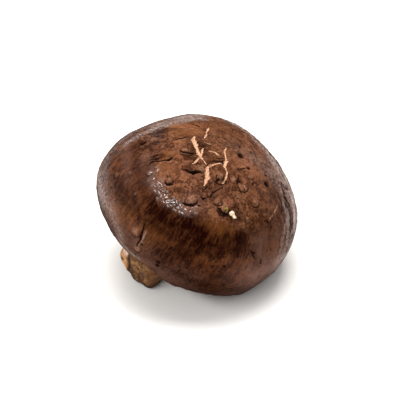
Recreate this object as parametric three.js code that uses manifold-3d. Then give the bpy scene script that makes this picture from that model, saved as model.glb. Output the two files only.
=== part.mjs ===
// A fresh shiitake mushroom lying on a table: a thick, domed brown cap with an inrolled margin, radial gills
// under it, and a short bent stem. It rests on the stem's base and on the low side of the cap.
// Millimetres, +Z up, the table at z = 0. The mushroom is shaped upright, about its cap's own axis with the
// cap's widest level at z = 0, and is then leaned over and set down. Azimuths are in degrees about that axis:
// 0 is the side that it leans to (+X), and 270 is its front (-Y). Slopes run from 0 at the top of the crown,
// through 90 at the widest level, to 180 at the lowest edge of the margin.
import * as THREE from "three";
import { mergeVertices } from "three/addons/utils/BufferGeometryUtils.js";
import Module from "manifold-3d";

const wasm = await Module();
wasm.setup();

// Cap
const CAP_RADIUS = 29;
const CROWN_HEIGHT = 25.6;
const CROWN_FULLNESS = 2.3; // 2 is a plain ellipse, and more is flatter on top with rounder shoulders
const MARGIN_RADIUS = 20.3;
const MARGIN_DROP = 9.4;
const LIP_IN = 2.3; // the inward roll of the margin
const LIP_UP = 2;
const LIP_FADE = 0.25; // the share of the swells that is gone at the lip's inner edge
const LIP_WALL = [[19, -6.5], [22.5, -4.6]]; // radius and height of the hollow's wall, from the lip up
const ROOF_HEIGHT = 1; // the underside of the flesh, over the stem
const ROOF_FALL = 3.4; // how much lower that is at the gills' outer ends
const ROOF_RADIUS = 23.1;
const CAP_SIDES = 84;
const OUTER_RINGS = 26;
const LIP_RINGS = 4;
const ROOF_RINGS = 4;

// Gills
const GILL_RADIUS = 22.3;
const FULL_GILLS = 40;
const GILL_THICKNESS = 0.64;
const GILL_PLATE = 1.1; // the flesh that the gills grow from
const GILL_ROOT = 0.5; // how deep their roots are sunk in it
const GILL_ENDS = [5, 22]; // the radii that a full gill runs between
const HALF_GILL_START = 12.4;
const GILL_EDGE = [[22, -3.4], [20.7, -4.8], [17.6, -6.6], [13, -7.1], [7, -5.4]]; // radius and height
const STEM_HOLE = 0.4; // how much wider the gills' hole is than the stem, all round

// Stem
const STEM_TOP_RADIUS = 6.9;
const STEM_WAIST_RADIUS = 6.1;
const STEM_BASE_RADIUS = 6.9;
const STEM_EDGE = 1.8; // the rounding of its cut end
const CUT_RIM = 4.4; // how far in from its side that end starts to dish
const CUT_DISH = 0.2;
const STEM_TOP = new THREE.Vector3(0, 0, 0.35);
const STEM_BEND = new THREE.Vector3(0, 0, -9.5);
const STEM_BASE = new THREE.Vector3(-8.2, -9.8, -16.3);
const STEM_SIDES = 36;
const STEM_RINGS = 20;

// Pose and fits
const LEAN = 26;
const CENTRE = new THREE.Vector3(-1.29, -0.07, 17.6); // of the cap's widest level, over the table
const GAP = 0.3; // between the roof of the cap and the gills

// Broad swells (out > 0) and dents of the cap: where their middles are, how far they reach along and across
// the rings of the cap, and how far out they stand. They raise the two low lobes that the cap lies on.
const SWELLS = [
  { azimuth: 163, slope: 88, wide: 12, tall: 9, out: 0.8 },
  { azimuth: 142, slope: 57, wide: 9.5, tall: 9.5, out: -1 },
  { azimuth: 84, slope: 42, wide: 13, tall: 10, out: 0.8 },
  { azimuth: 355, slope: 68, wide: 10.5, tall: 10, out: 0.6 },
  { azimuth: 326, slope: 116, wide: 9.5, tall: 6, out: -1 },
  { azimuth: 4, slope: 156, wide: 7, tall: 5, out: -1.4 },
  { azimuth: 40, slope: 156, wide: 6.5, tall: 5, out: 1.9 },
  { azimuth: 323, slope: 160, wide: 6, tall: 4, out: 1.7 },
  { azimuth: 260, slope: 124, wide: 10, tall: 5, out: 0.7 },
  { azimuth: 208, slope: 134, wide: 15, tall: 5, out: -0.8 },
  { azimuth: 245, slope: 156, wide: 5, tall: 4.5, out: -1.5 },
  { azimuth: 240, slope: 74, wide: 14, tall: 6.5, out: -0.5 },
  { azimuth: 225, slope: 46, wide: 16, tall: 5, out: 0.45 },
  { azimuth: 290, slope: 50, wide: 14, tall: 5, out: 0.4 },
  { azimuth: 100, slope: 120, wide: 14, tall: 6, out: 0.7 },
  { azimuth: 70, slope: 96, wide: 7, tall: 7, out: -0.6 },
];

// Warts of the skin, as low domes: where, how wide and how high.
const WARTS = [
  { azimuth: 226, slope: 52, radius: 1.5, height: 0.75 },
  { azimuth: 222, slope: 48.5, radius: 1, height: 0.5 },
  { azimuth: 212, slope: 58, radius: 1.2, height: 0.5 },
  { azimuth: 196, slope: 74, radius: 1.2, height: 0.5 },
  { azimuth: 203, slope: 66, radius: 1, height: 0.45 },
  { azimuth: 248, slope: 52, radius: 1.6, height: 0.6 },
  { azimuth: 264, slope: 46, radius: 1.1, height: 0.5 },
  { azimuth: 273, slope: 49, radius: 1.9, height: 0.8 },
  { azimuth: 290, slope: 30, radius: 1.4, height: 0.5 },
  { azimuth: 298, slope: 40, radius: 1.5, height: 0.5 },
  { azimuth: 254, slope: 29, radius: 1.8, height: 0.5 },
  { azimuth: 236, slope: 100, radius: 1.3, height: 0.4 },
  { azimuth: 100, slope: 76, radius: 1.5, height: 0.5 },
  { azimuth: 42, slope: 70, radius: 1.3, height: 0.45 },
];

// Cracks of the crown, slits of its skin and a cleft of the margin, as V-shaped grooves: the places that each
// runs through (azimuth, slope), its half width and its depth.
const GROOVES = [
  { path: [[176, 26], [208, 26], [222, 27.5], [226, 34]], half: 0.6, depth: 0.6 },
  { path: [[210, 21], [222, 27.5], [236, 28.5]], half: 0.45, depth: 0.5 },
  { path: [[138, 21], [179, 18]], half: 0.4, depth: 0.4 },
  { path: [[216, 7], [252, 16], [262, 23], [264, 33]], half: 0.45, depth: 0.5 },
  { path: [[250, 22], [242, 27], [242, 32], [248, 36], [249, 41]], half: 0.6, depth: 0.6 },
  { path: [[225, 42], [233, 41], [238, 36]], half: 0.5, depth: 0.5 },
  { path: [[207, 37], [212, 34], [211, 29]], half: 0.45, depth: 0.4 },
  { path: [[237, 98], [236, 86], [237, 80]], half: 0.45, depth: 0.6 },
];

const radians = THREE.MathUtils.degToRad;
const { lerp, smoothstep } = THREE.MathUtils;

// ---------------------------------------------------------------- helpers

// A closed surface from rings of points: rings[0] and the last ring are single points.
function ringSolid(rings) {
  const points = [];
  const faces = [];
  const starts = rings.map((ring) => {
    const start = points.length;
    points.push(...ring);
    return start;
  });
  for (let i = 0; i + 1 < rings.length; i++) {
    const sides = Math.max(rings[i].length, rings[i + 1].length);
    const corner = (row, k) => starts[row] + (k % rings[row].length);
    for (let k = 0; k < sides; k++) {
      if (rings[i].length > 1) faces.push([corner(i, k), corner(i + 1, k), corner(i, k + 1)]);
      if (rings[i + 1].length > 1) faces.push([corner(i, k + 1), corner(i + 1, k), corner(i + 1, k + 1)]);
    }
  }
  const geometry = new THREE.BufferGeometry().setFromPoints(points);
  geometry.setIndex(faces.flat());
  return solidOf(geometry);
}

// A closed three.js geometry as a manifold-3d solid.
function solidOf(geometry) {
  const bare = geometry.clone();
  bare.deleteAttribute("normal");
  bare.deleteAttribute("uv");
  const merged = mergeVertices(bare, 1e-4);
  return new wasm.Manifold(
    new wasm.Mesh({
      numProp: 3,
      vertProperties: new Float32Array(merged.attributes.position.array),
      triVerts: new Uint32Array(merged.index.array),
    }),
  );
}

// A manifold-3d solid as a three.js geometry.
function geometryOf(solid) {
  const mesh = solid.getMesh();
  const geometry = new THREE.BufferGeometry();
  geometry.setAttribute("position", new THREE.BufferAttribute(mesh.vertProperties, 3));
  geometry.setIndex(new THREE.BufferAttribute(mesh.triVerts, 1));
  geometry.computeVertexNormals();
  return geometry;
}

function onRing(radius, azimuth, z) {
  return new THREE.Vector3(radius * Math.cos(azimuth), radius * Math.sin(azimuth), z);
}

// ---------------------------------------------------------------- cap

// The cap's outline at a slope: its radius, its height, and its outward normal in that plane. The crown is a
// superellipse, and the margin below the widest level is a quarter ellipse that ends at its lowest edge.
function outline(slope) {
  const s = Math.sin(radians(slope));
  const c = Math.cos(radians(slope));
  if (slope <= 90) {
    const n = CROWN_FULLNESS;
    const reach = ((s / CAP_RADIUS) ** n + (Math.max(c, 0) / CROWN_HEIGHT) ** n) ** (-1 / n);
    const normal = new THREE.Vector2(
      (reach * s / CAP_RADIUS) ** (n - 1) / CAP_RADIUS,
      (reach * Math.max(c, 0) / CROWN_HEIGHT) ** (n - 1) / CROWN_HEIGHT,
    ).normalize();
    return { radius: reach * s, z: reach * c, normal };
  }
  const width = CAP_RADIUS - MARGIN_RADIUS;
  return {
    radius: MARGIN_RADIUS + width * s,
    z: MARGIN_DROP * c,
    normal: new THREE.Vector2(s / width, c / MARGIN_DROP).normalize(),
  };
}

// The point of the cap's outline at a slope and azimuth, its outward normal, and the way down its meridian.
function outlinePoint(slope, azimuth) {
  const { radius, z, normal } = outline(slope);
  return {
    point: onRing(radius, radians(azimuth), z),
    normal: onRing(normal.x, radians(azimuth), normal.y),
    down: onRing(normal.y, radians(azimuth), -normal.x),
  };
}

const swells = SWELLS.map((swell) => ({
  ...swell,
  ...outlinePoint(swell.slope, swell.azimuth),
  along: onRing(1, radians(swell.azimuth + 90), 0),
}));

// How far the swells push a point of the outline out. Each falls off as a bell.
function swelling({ point, normal }) {
  return swells.reduce((sum, swell) => {
    if (normal.dot(swell.normal) <= 0) return sum;
    const offset = point.clone().sub(swell.point);
    const x = offset.dot(swell.along) / swell.wide;
    const y = offset.dot(swell.down) / swell.tall;
    return sum + swell.out * Math.exp(-x * x - y * y);
  }, 0);
}

// A place on the swollen skin, with the outline's normal there.
function skin(azimuth, slope) {
  const base = outlinePoint(slope, azimuth);
  return { point: base.point.clone().addScaledVector(base.normal, swelling(base)), normal: base.normal };
}

function skinRing(slope) {
  return Array.from({ length: CAP_SIDES }, (_, k) => skin((360 * k) / CAP_SIDES, slope).point);
}

function wart({ azimuth, slope, radius, height }) {
  const { point, normal } = skin(azimuth, slope);
  const dome = new THREE.SphereGeometry(1, 10, 6).scale(radius, height, radius);
  dome.applyQuaternion(new THREE.Quaternion().setFromUnitVectors(new THREE.Vector3(0, 1, 0), normal));
  return solidOf(dome.translate(point.x, point.y, point.z));
}

// The wedge that cuts a groove. It tapers to a point at both ends.
function groove({ path, half, depth }) {
  const places = path.map(([azimuth, slope]) => skin(azimuth, slope));
  const line = new THREE.CatmullRomCurve3(places.map(({ point }) => point));
  const steps = 3 * (path.length - 1);
  const rings = [];
  for (let i = 0; i <= steps; i++) {
    const centre = line.getPoint(i / steps);
    if (i === 0 || i === steps) {
      rings.push([centre]);
      continue;
    }
    const at = (i / steps) * (path.length - 1);
    const before = places[Math.floor(at)].normal;
    const after = places[Math.ceil(at)].normal;
    const normal = before.clone().lerp(after, at % 1).normalize();
    const side = new THREE.Vector3().crossVectors(line.getTangent(i / steps), normal).normalize();
    const corner = (direction, length) => centre.clone().addScaledVector(direction, length);
    rings.push([corner(normal, depth), corner(side, -half), corner(normal, -depth), corner(side, half)]);
  }
  return ringSolid(rings);
}

function roofHeight(radius) {
  return ROOF_HEIGHT - ROOF_FALL * (radius / ROOF_RADIUS) ** 2;
}

// The skin from the crown to the margin, the inrolled lip, the wall behind it, and the roof over the gills.
function capFlesh() {
  const rings = [[onRing(0, 0, CROWN_HEIGHT + swelling(outlinePoint(0, 0)))]];
  for (let i = 1; i <= OUTER_RINGS; i++) rings.push(skinRing((180 * i) / OUTER_RINGS));
  const lowest = rings.at(-1);
  for (let i = 1; i <= LIP_RINGS; i++) {
    const turn = (Math.PI / 2) * (i / LIP_RINGS);
    const share = 1 - LIP_FADE * (i / LIP_RINGS);
    rings.push(lowest.map((point, k) => {
      const azimuth = radians((360 * k) / CAP_SIDES);
      const level = lerp(-MARGIN_DROP, point.z, share);
      return onRing(MARGIN_RADIUS - LIP_IN * Math.sin(turn), azimuth, level + LIP_UP * (1 - Math.cos(turn)));
    }));
  }
  const inside = [...LIP_WALL];
  for (let i = 0; i < ROOF_RINGS; i++) {
    const radius = ROOF_RADIUS * (1 - i / ROOF_RINGS);
    inside.push([radius, roofHeight(radius)]);
  }
  for (const [radius, z] of inside)
    rings.push(lowest.map((_, k) => onRing(radius, radians((360 * k) / CAP_SIDES), z)));
  rings.push([onRing(0, 0, ROOF_HEIGHT)]);
  return ringSolid(rings);
}

function cap() {
  const warty = wasm.Manifold.union([capFlesh(), ...WARTS.map(wart)]);
  return warty.subtract(wasm.Manifold.union(GROOVES.map(groove)));
}

// ---------------------------------------------------------------- stem

const stemLine = new THREE.QuadraticBezierCurve3(STEM_TOP, STEM_BEND, STEM_BASE);

function stemRadius(along) {
  const waist = lerp(STEM_TOP_RADIUS, STEM_WAIST_RADIUS, smoothstep(along, 0, 0.45));
  return lerp(waist, STEM_BASE_RADIUS, smoothstep(along, 0.5, 0.9));
}

// The knobs of the stem: three waves that turn round it, weak at the top and strong at the base.
function stemKnobs(along, turn) {
  const strength = lerp(0.12, 1, smoothstep(along, 0.3, 0.95));
  return strength * (
    0.34 * Math.sin(3 * turn + 5 * along + 0.6) +
    0.26 * Math.sin(5 * turn - 11 * along) +
    0.22 * Math.sin(8 * turn + 17 * along + 1.3)
  );
}

// A stem ring: round the centre line at a share of its length, set back by inset and pushed on by forward.
function stemRing(along, inset, forward, extra) {
  const centre = stemLine.getPoint(along);
  const tangent = stemLine.getTangent(along);
  const across = new THREE.Vector3(0, 1, 0).cross(tangent).normalize();
  const side = new THREE.Vector3().crossVectors(across, tangent);
  return Array.from({ length: STEM_SIDES }, (_, k) => {
    const turn = (2 * Math.PI * k) / STEM_SIDES;
    const radius = Math.max(0.4, stemRadius(along) + stemKnobs(along, turn) + extra - inset);
    return centre.clone()
      .addScaledVector(across, radius * Math.cos(turn))
      .addScaledVector(side, radius * Math.sin(turn))
      .addScaledVector(tangent, forward);
  });
}

// The whole stem. With extra, a fatter one that clears the hole for it in the gills.
function stem(extra = 0) {
  const rings = [[STEM_TOP.clone().setZ(STEM_TOP.z + extra)], stemRing(0, 0, -extra, extra)];
  for (let i = 1; i <= STEM_RINGS; i++) rings.push(stemRing(i / STEM_RINGS, 0, 0, extra));
  for (const turn of [30, 60, 90].map(radians))
    rings.push(stemRing(1, STEM_EDGE * (1 - Math.cos(turn)), STEM_EDGE * Math.sin(turn), extra));
  rings.push(stemRing(1, CUT_RIM, STEM_EDGE - CUT_DISH, extra));
  rings.push([STEM_BASE.clone().addScaledVector(stemLine.getTangent(1), STEM_EDGE)]);
  return ringSolid(rings);
}

// ---------------------------------------------------------------- gills

// One gill: an upright plate from its root in the flesh to its free edge, and outwards from an inner radius.
function gill(inner, azimuth) {
  const edge = GILL_EDGE.filter(([radius]) => radius > inner).reverse();
  const root = (radius) => [radius, roofHeight(radius) - GAP - GILL_ROOT];
  const corners = [root(inner), ...edge, root(GILL_ENDS[1])];
  const shape = new THREE.Shape(corners.map(([radius, z]) => new THREE.Vector2(radius, z)));
  const plate = new THREE.ExtrudeGeometry(shape, { depth: GILL_THICKNESS, bevelEnabled: false });
  plate.translate(0, 0, -GILL_THICKNESS / 2).rotateX(Math.PI / 2).rotateZ(azimuth);
  return solidOf(plate);
}

// The plate of flesh and its gills: full ones to the stem, and half ones between them.
function gills() {
  const levels = [4, 10, 16, GILL_RADIUS];
  const ring = (radius, z) =>
    Array.from({ length: CAP_SIDES / 2 }, (_, k) => onRing(radius, (4 * Math.PI * k) / CAP_SIDES, z));
  const plate = ringSolid([
    [onRing(0, 0, ROOF_HEIGHT - GAP)],
    ...levels.map((radius) => ring(radius, roofHeight(radius) - GAP)),
    ...levels.toReversed().map((radius) => ring(radius, roofHeight(radius) - GAP - GILL_PLATE)),
    [onRing(0, 0, ROOF_HEIGHT - GAP - GILL_PLATE)],
  ]);
  const step = (2 * Math.PI) / FULL_GILLS;
  const blades = [];
  for (let i = 0; i < FULL_GILLS; i++) {
    blades.push(gill(GILL_ENDS[0], i * step));
    blades.push(gill(HALF_GILL_START, (i + 0.5) * step));
  }
  return wasm.Manifold.union([plate, ...blades]).subtract(stem(STEM_HOLE));
}

// ---------------------------------------------------------------- pose

// Everything under the table is cut away, which leaves the small flats that the mushroom lies on.
function setDown(solid) {
  const pose = new THREE.Matrix4().makeRotationY(radians(LEAN)).setPosition(CENTRE);
  return solidOf(geometryOf(solid).applyMatrix4(pose)).trimByPlane([0, 0, 1], 0);
}

function piece(name, solid, colour, roughness) {
  const material = new THREE.MeshStandardMaterial({ color: colour, roughness, metalness: 0 });
  const mesh = new THREE.Mesh(geometryOf(setDown(solid)), material);
  mesh.name = name;
  return mesh;
}

const mushroom = new THREE.Group();
mushroom.add(
  piece("cap", cap(), 0x4a2b1e, 0.42),
  piece("gills", gills(), 0xd9c49c, 0.8),
  piece("stem", stem(), 0x9a744a, 0.85),
);

export default mushroom;
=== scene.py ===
"""Looks of a fresh shiitake mushroom, lying on the rolled margin of its cap and the cut end of its stem.

The cap's skin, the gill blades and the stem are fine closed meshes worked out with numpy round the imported
solids, and each has a procedural finish. Lengths are millimetres in the standing mushroom's own frame, with
the stem's axis up, until Seat.place leans them into the row frame, in metres. A direction on the cap is an
azimuth, in degrees from +X towards +Y, and a slope, from 0 at the crown through 90 at the widest ring to 180
at the margin.
"""

import logging
from dataclasses import dataclass, field
from enum import Enum

import bpy
import numpy as np
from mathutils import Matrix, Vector


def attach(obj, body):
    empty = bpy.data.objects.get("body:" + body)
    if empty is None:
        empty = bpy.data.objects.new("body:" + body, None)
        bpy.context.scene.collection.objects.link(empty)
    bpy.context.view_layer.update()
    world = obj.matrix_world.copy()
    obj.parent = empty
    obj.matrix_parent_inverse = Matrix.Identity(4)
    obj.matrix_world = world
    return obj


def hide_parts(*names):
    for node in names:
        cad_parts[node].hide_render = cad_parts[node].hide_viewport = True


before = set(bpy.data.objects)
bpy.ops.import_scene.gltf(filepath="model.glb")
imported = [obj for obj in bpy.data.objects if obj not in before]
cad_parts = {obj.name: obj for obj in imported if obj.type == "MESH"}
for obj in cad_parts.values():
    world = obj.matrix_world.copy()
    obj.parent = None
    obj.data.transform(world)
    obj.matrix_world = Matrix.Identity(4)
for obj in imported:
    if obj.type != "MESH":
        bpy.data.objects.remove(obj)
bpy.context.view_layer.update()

LOG = logging.getLogger("shiitake")
BODY = "root"
MM = 0.001
# Constants of the hash that all noises are made of.
PRIMES = (73856093, 19349663, 83492791)
SEED_FACTOR = 2654435761
HASH_ROUNDS = ((16, 0x45D9F3B), (15, 0x2C1B3C6D), (16, 1))
WORD = 0xFFFFFFFF
# Least length, in mm, and least share of a mark that are told from none.
TINY = 1e-6
FAINT = 1e-9
# A scratch on the flank, which is relief and shows in two tones.
SCRATCH = ((235.2, 81), (236, 86), (236.5, 91), (237, 98))
# Tones whose marks the cap's mesh carries as attributes; some are painted shade, sheen and glare.
TONES = ("rose", "ochre", "olive", "dark_and_shade", "mauve_and_haze", "sheen_and_veil", "gloss", "moss", "rim_glare")

Array = np.ndarray
Node = bpy.types.Node
NodeTree = bpy.types.NodeTree
Socket = bpy.types.NodeSocket
Material = bpy.types.Material
Piece = bpy.types.Object
Colour = tuple[float, float, float, float]
Triple = tuple[float, float, float]
Path = tuple[tuple[float, float], ...]


class Slot(Enum):
    """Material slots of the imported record."""

    CAP = "cap_skin"
    GILL = "gill_flesh"
    STEM = "stem_skin"


def smoothstep(low: float, high: float, value: Array) -> Array:
    """Rises from 0 at low to 1 at high along the cubic 3t^2 - 2t^3; low may be the greater.

    Args:
        low: Value at which the step starts.
        high: Value at which it ends.
        value: Values to step.

    Returns:
        Values from 0 to 1.
    """
    t = np.clip((value - low) / (high - low), 0, 1)
    return t * t * (3 - 2 * t)


def hashed(cells: Array, seed: int) -> Array:
    """Repeatable values from 0 to 1 for whole-number cells, from products with primes mixed by shifts.

    Args:
        cells: Cell numbers, with x, y, z last.
        seed: Number of the pattern.

    Returns:
        One value a cell.
    """
    c = cells.astype(np.int64)
    h = (c[..., 0] * PRIMES[0]) ^ (c[..., 1] * PRIMES[1]) ^ (c[..., 2] * PRIMES[2]) ^ (seed * SEED_FACTOR)
    h &= WORD
    for shift, factor in HASH_ROUNDS:
        h = ((h ^ (h >> shift)) * factor) & WORD
    return h / WORD


def smooth_noise(points: Array, size: float, seed: int) -> Array:
    """Value noise: hashed lattice corners blended by smoothstep along each axis, scaled to run from -1 to 1.

    Args:
        points: Places, with x, y, z last.
        size: Lattice step, the size of a lump.
        seed: Number of the pattern.

    Returns:
        One value a place.
    """
    p = points / size
    cell = np.floor(p)
    t = smoothstep(0, 1, p - cell)
    total = np.zeros(points.shape[:-1])
    for corner in np.ndindex(2, 2, 2):
        weight = np.prod(np.where(np.array(corner) == 1, t, 1 - t), axis=-1)
        total += weight * hashed(cell + corner, seed)
    return total * 2 - 1


def fractal(points: Array, size: float, octaves: int, seed: int) -> Array:
    """Sum of value noises, each half the size and half the strength of the one before, kept within -1 to 1.

    Args:
        points: Places, with x, y, z last.
        size: Size of the widest lumps.
        octaves: How many noises are added.
        seed: Number of the pattern.

    Returns:
        One value a place.
    """
    steps = range(octaves)
    total = sum(smooth_noise(points, size / 2**k, seed + k) / 2**k for k in steps)
    return total / sum(1 / 2**k for k in steps)


def drift(points: Array, size: float, seed: int) -> Array:
    """Three fractal noises of three octaves, as the x, y and z of a vector at each place."""
    return np.stack([fractal(points, size, 3, seed + k) for k in range(3)], -1)


def drawn_noise(places: Array, shares: tuple[Triple, Triple], seed: int) -> Array:
    """Two noises drawn out by shares of each axis, the coarse one 0.6 strong and the fine one 0.4."""
    coarse, fine = (smooth_noise(places * share, 1, seed + 2 * k) for k, share in enumerate(shares))
    return coarse * 0.6 + fine * 0.4


def bell(value: Array, middle: float, half: float | Array, power: int = 2) -> Array:
    """The curve exp(-|(value - middle) / half|^power), flatter at the top for a higher power."""
    return np.exp(-(np.abs((value - middle) / half) ** power))


def lengths(ways: Array) -> Array:
    """Length of each vector."""
    return np.linalg.norm(ways, axis=-1)


def cells(points: Array, size: float, seed: int) -> tuple[Array, Array, Array]:
    """Cellular noise: the nearest of one hashed point in each lattice cell.

    Args:
        points: Places, with x, y, z last.
        size: Lattice step, about the width of a cell.
        seed: Number of the pattern.

    Returns:
        Its distance in steps, a value from 0 to 1 for its cell, and the way from it.
    """
    p = points / size
    home = np.floor(p)
    near = np.full(p.shape[:-1], np.inf)
    name = np.zeros(p.shape[:-1])
    way = np.zeros(p.shape)
    for offset in np.ndindex(3, 3, 3):
        cell = home + offset - 1
        heart = cell + np.stack([hashed(cell, seed + k) for k in range(3)], -1)
        away = lengths(p - heart)
        closer = away < near
        name = np.where(closer, hashed(cell, seed + 5), name)
        way = np.where(closer[..., None], p - heart, way)
        near = np.minimum(near, away)
    return near, name, way


def path_way(points: Array, path: Array) -> tuple[Array, Array]:
    """The way to each place from the nearest point of a chain of straight stretches, and where that is.

    Args:
        points: Places, with x, y, z last.
        path: Corners of the chain, one a row.

    Returns:
        The way, and the fraction of the chain's length from 0 to 1.
    """
    spans = lengths(np.diff(path, axis=0))
    starts = np.concatenate([[0], np.cumsum(spans)])
    best = np.full(points.shape[:-1], np.inf)
    way = np.zeros(points.shape)
    along = np.zeros(points.shape[:-1])
    for start, end, before, span in zip(path[:-1], path[1:], starts, spans):
        t = np.clip((points - start) @ (end - start) / span**2, 0, 1)
        offset = points - start - t[..., None] * (end - start)
        away = lengths(offset)
        closer = away < best
        along = np.where(closer, before + t * span, along)
        way = np.where(closer[..., None], offset, way)
        best = np.where(closer, away, best)
    return way, along / starts[-1]


@dataclass
class Seat:
    """How the leaning mushroom lies on the ground.

    Args:
        lean: Turn about Y, in degrees.
        centre: Place of the standing frame's origin in the row frame, in mm.
    """

    lean: float = 26.0
    centre: Triple = (-1.29, -0.07, 17.6)

    def place(self, points: Array) -> Array:
        """Turns points about Y, moves them and lays what would reach under the ground flat on it.

        Args:
            points: Places in the standing frame, in mm.

        Returns:
            Places in the row frame, in metres.
        """
        t = np.radians(self.lean)
        x, y, z = points[..., 0], points[..., 1], points[..., 2]
        turned = np.stack([x * np.cos(t) + z * np.sin(t), y, z * np.cos(t) - x * np.sin(t)], -1)
        turned = turned + self.centre
        turned[..., 2] = np.maximum(turned[..., 2], 0)
        return turned * MM


@dataclass
class Skin:
    """A closed mesh made of a wrapped grid of points, and the values that its finish reads.

    Args:
        name: Name of the piece.
        vertices: Places in the row frame, in metres.
        faces: Corner numbers, three or four a face, with -1 in the fourth place of a triangle.
        values: One array for each attribute, with one or three numbers a point.
    """

    name: str
    vertices: Array
    faces: Array
    values: dict[str, Array] = field(default_factory=dict)

    def build(self) -> Piece:
        """Makes the mesh with foreach_set, smooth all over, and puts its object at the origin.

        Returns:
            The new object, linked to the scene.
        """
        mesh = bpy.data.meshes.new(self.name)
        mesh.vertices.add(len(self.vertices))
        mesh.vertices.foreach_set("co", self.vertices.astype(np.float32).ravel())
        kept = self.faces >= 0
        totals = kept.sum(1)
        corners = self.faces[kept]
        mesh.loops.add(len(corners))
        mesh.loops.foreach_set("vertex_index", corners.astype(np.int32))
        mesh.polygons.add(len(totals))
        starts = np.concatenate([[0], np.cumsum(totals)[:-1]])
        mesh.polygons.foreach_set("loop_start", starts.astype(np.int32))
        mesh.polygons.foreach_set("loop_total", totals.astype(np.int32))
        mesh.polygons.foreach_set("use_smooth", np.ones(len(totals), bool))
        mesh.update(calc_edges=True)
        for name, value in self.values.items():
            kind = "FLOAT_VECTOR" if value.ndim == 2 else "FLOAT"
            layer = mesh.attributes.new(name, kind, "POINT")
            layer.data.foreach_set("vector" if value.ndim == 2 else "value", value.astype(np.float32).ravel())
        piece = bpy.data.objects.new(self.name, mesh)
        bpy.context.scene.collection.objects.link(piece)
        return piece


def wrapped_faces(rows: int, columns: int) -> Array:
    """Quads of a grid whose last column joins its first; the rows run along the piece.

    Args:
        rows: Number of rings.
        columns: Points in a ring.

    Returns:
        Four corner numbers a quad.
    """
    i, j = np.meshgrid(np.arange(rows - 1), np.arange(columns), indexing="ij")
    k = (j + 1) % columns
    here, after = i * columns, (i + 1) * columns
    return np.stack([here + j, after + j, after + k, here + k], -1).reshape(-1, 4)


def fan_faces(pole: int, ring: int, columns: int, starts: bool) -> Array:
    """Triangles from a pole to its neighbouring ring.

    Args:
        pole: Number of the pole's point.
        ring: Number of the ring's first point.
        columns: Points in the ring.
        starts: True where the pole comes before the ring, False where it comes after.

    Returns:
        Three corner numbers and -1 a triangle.
    """
    j = np.arange(columns)
    a, b = ring + j, ring + (j + 1) % columns
    order = [np.full(columns, pole), a, b] if starts else [a, np.full(columns, pole), b]
    return np.stack([*order, np.full(columns, -1)], -1)


def closed_tube(points: Array) -> tuple[Array, Array]:
    """Vertices and faces of rings closed at both ends by the mean of the end rings.

    Args:
        points: Rings of points, as rows, columns, xyz.

    Returns:
        The vertices, with the start pole and the end pole last, and the faces.
    """
    rows, columns = points.shape[:2]
    flat = points.reshape(-1, 3)
    vertices = np.vstack([flat, points[0].mean(0), points[-1].mean(0)])
    faces = [wrapped_faces(rows, columns),
             fan_faces(rows * columns, 0, columns, True),
             fan_faces(rows * columns + 1, (rows - 1) * columns, columns, False)]
    return vertices, np.vstack(faces)


def with_poles(value: Array) -> Array:
    """A grid's attribute as a flat list, with the means of its first and last rings added for the poles.

    Args:
        value: Rows and columns of one or three numbers.

    Returns:
        The flat list, in the order that closed_tube gives its vertices.
    """
    tail = value.shape[2:]
    return np.concatenate([value.reshape(-1, *tail), value[0].mean(0)[None], value[-1].mean(0)[None]])


@dataclass
class Swell:
    """A broad bulge or dent in the cap, centred at an azimuth and slope, wide and tall in mm, out in mm."""

    azimuth: float
    slope: float
    wide: float
    tall: float
    out: float


@dataclass
class Wart:
    """A small knob on the cap: where it is, its radius and its height, in mm."""

    azimuth: float
    slope: float
    radius: float
    height: float


@dataclass
class Tear:
    """A split, slit or wrinkle in the skin that follows a path of azimuths and slopes.

    Args:
        path: Azimuth and slope of each corner.
        half: Half its width where it is widest, in mm.
        depth: How deep it goes, in mm.
        lip: How far its lower edge stands up, in mm.
        flesh: 1 where it shows pale flesh, 0 where it shows dark skin.
        widths: Shares of the width at even steps along the path.
        shade: How much shade is painted into its bottom, from 0 to 1, where it shows skin.
    """

    path: Path
    half: float
    depth: float
    lip: float = 0.1
    flesh: float = 0.0
    widths: tuple[float, ...] = (0.3, 1.0, 1.0, 0.3)
    shade: float = 1.0


@dataclass
class Patch:
    """An area of one tone: its middle, its half widths round and down in mm, strength and edge hardness."""

    azimuth: float
    slope: float
    wide: float
    tall: float
    strength: float = 1.0
    hard: float = 1.0


@dataclass
class Band:
    """A stripe of one tone along a path of azimuths and slopes: half width in mm, strength and hardness."""

    path: Path
    half: float
    strength: float = 1.0
    hard: float = 1.0


Marks = tuple[Patch | Band, ...]


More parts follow.
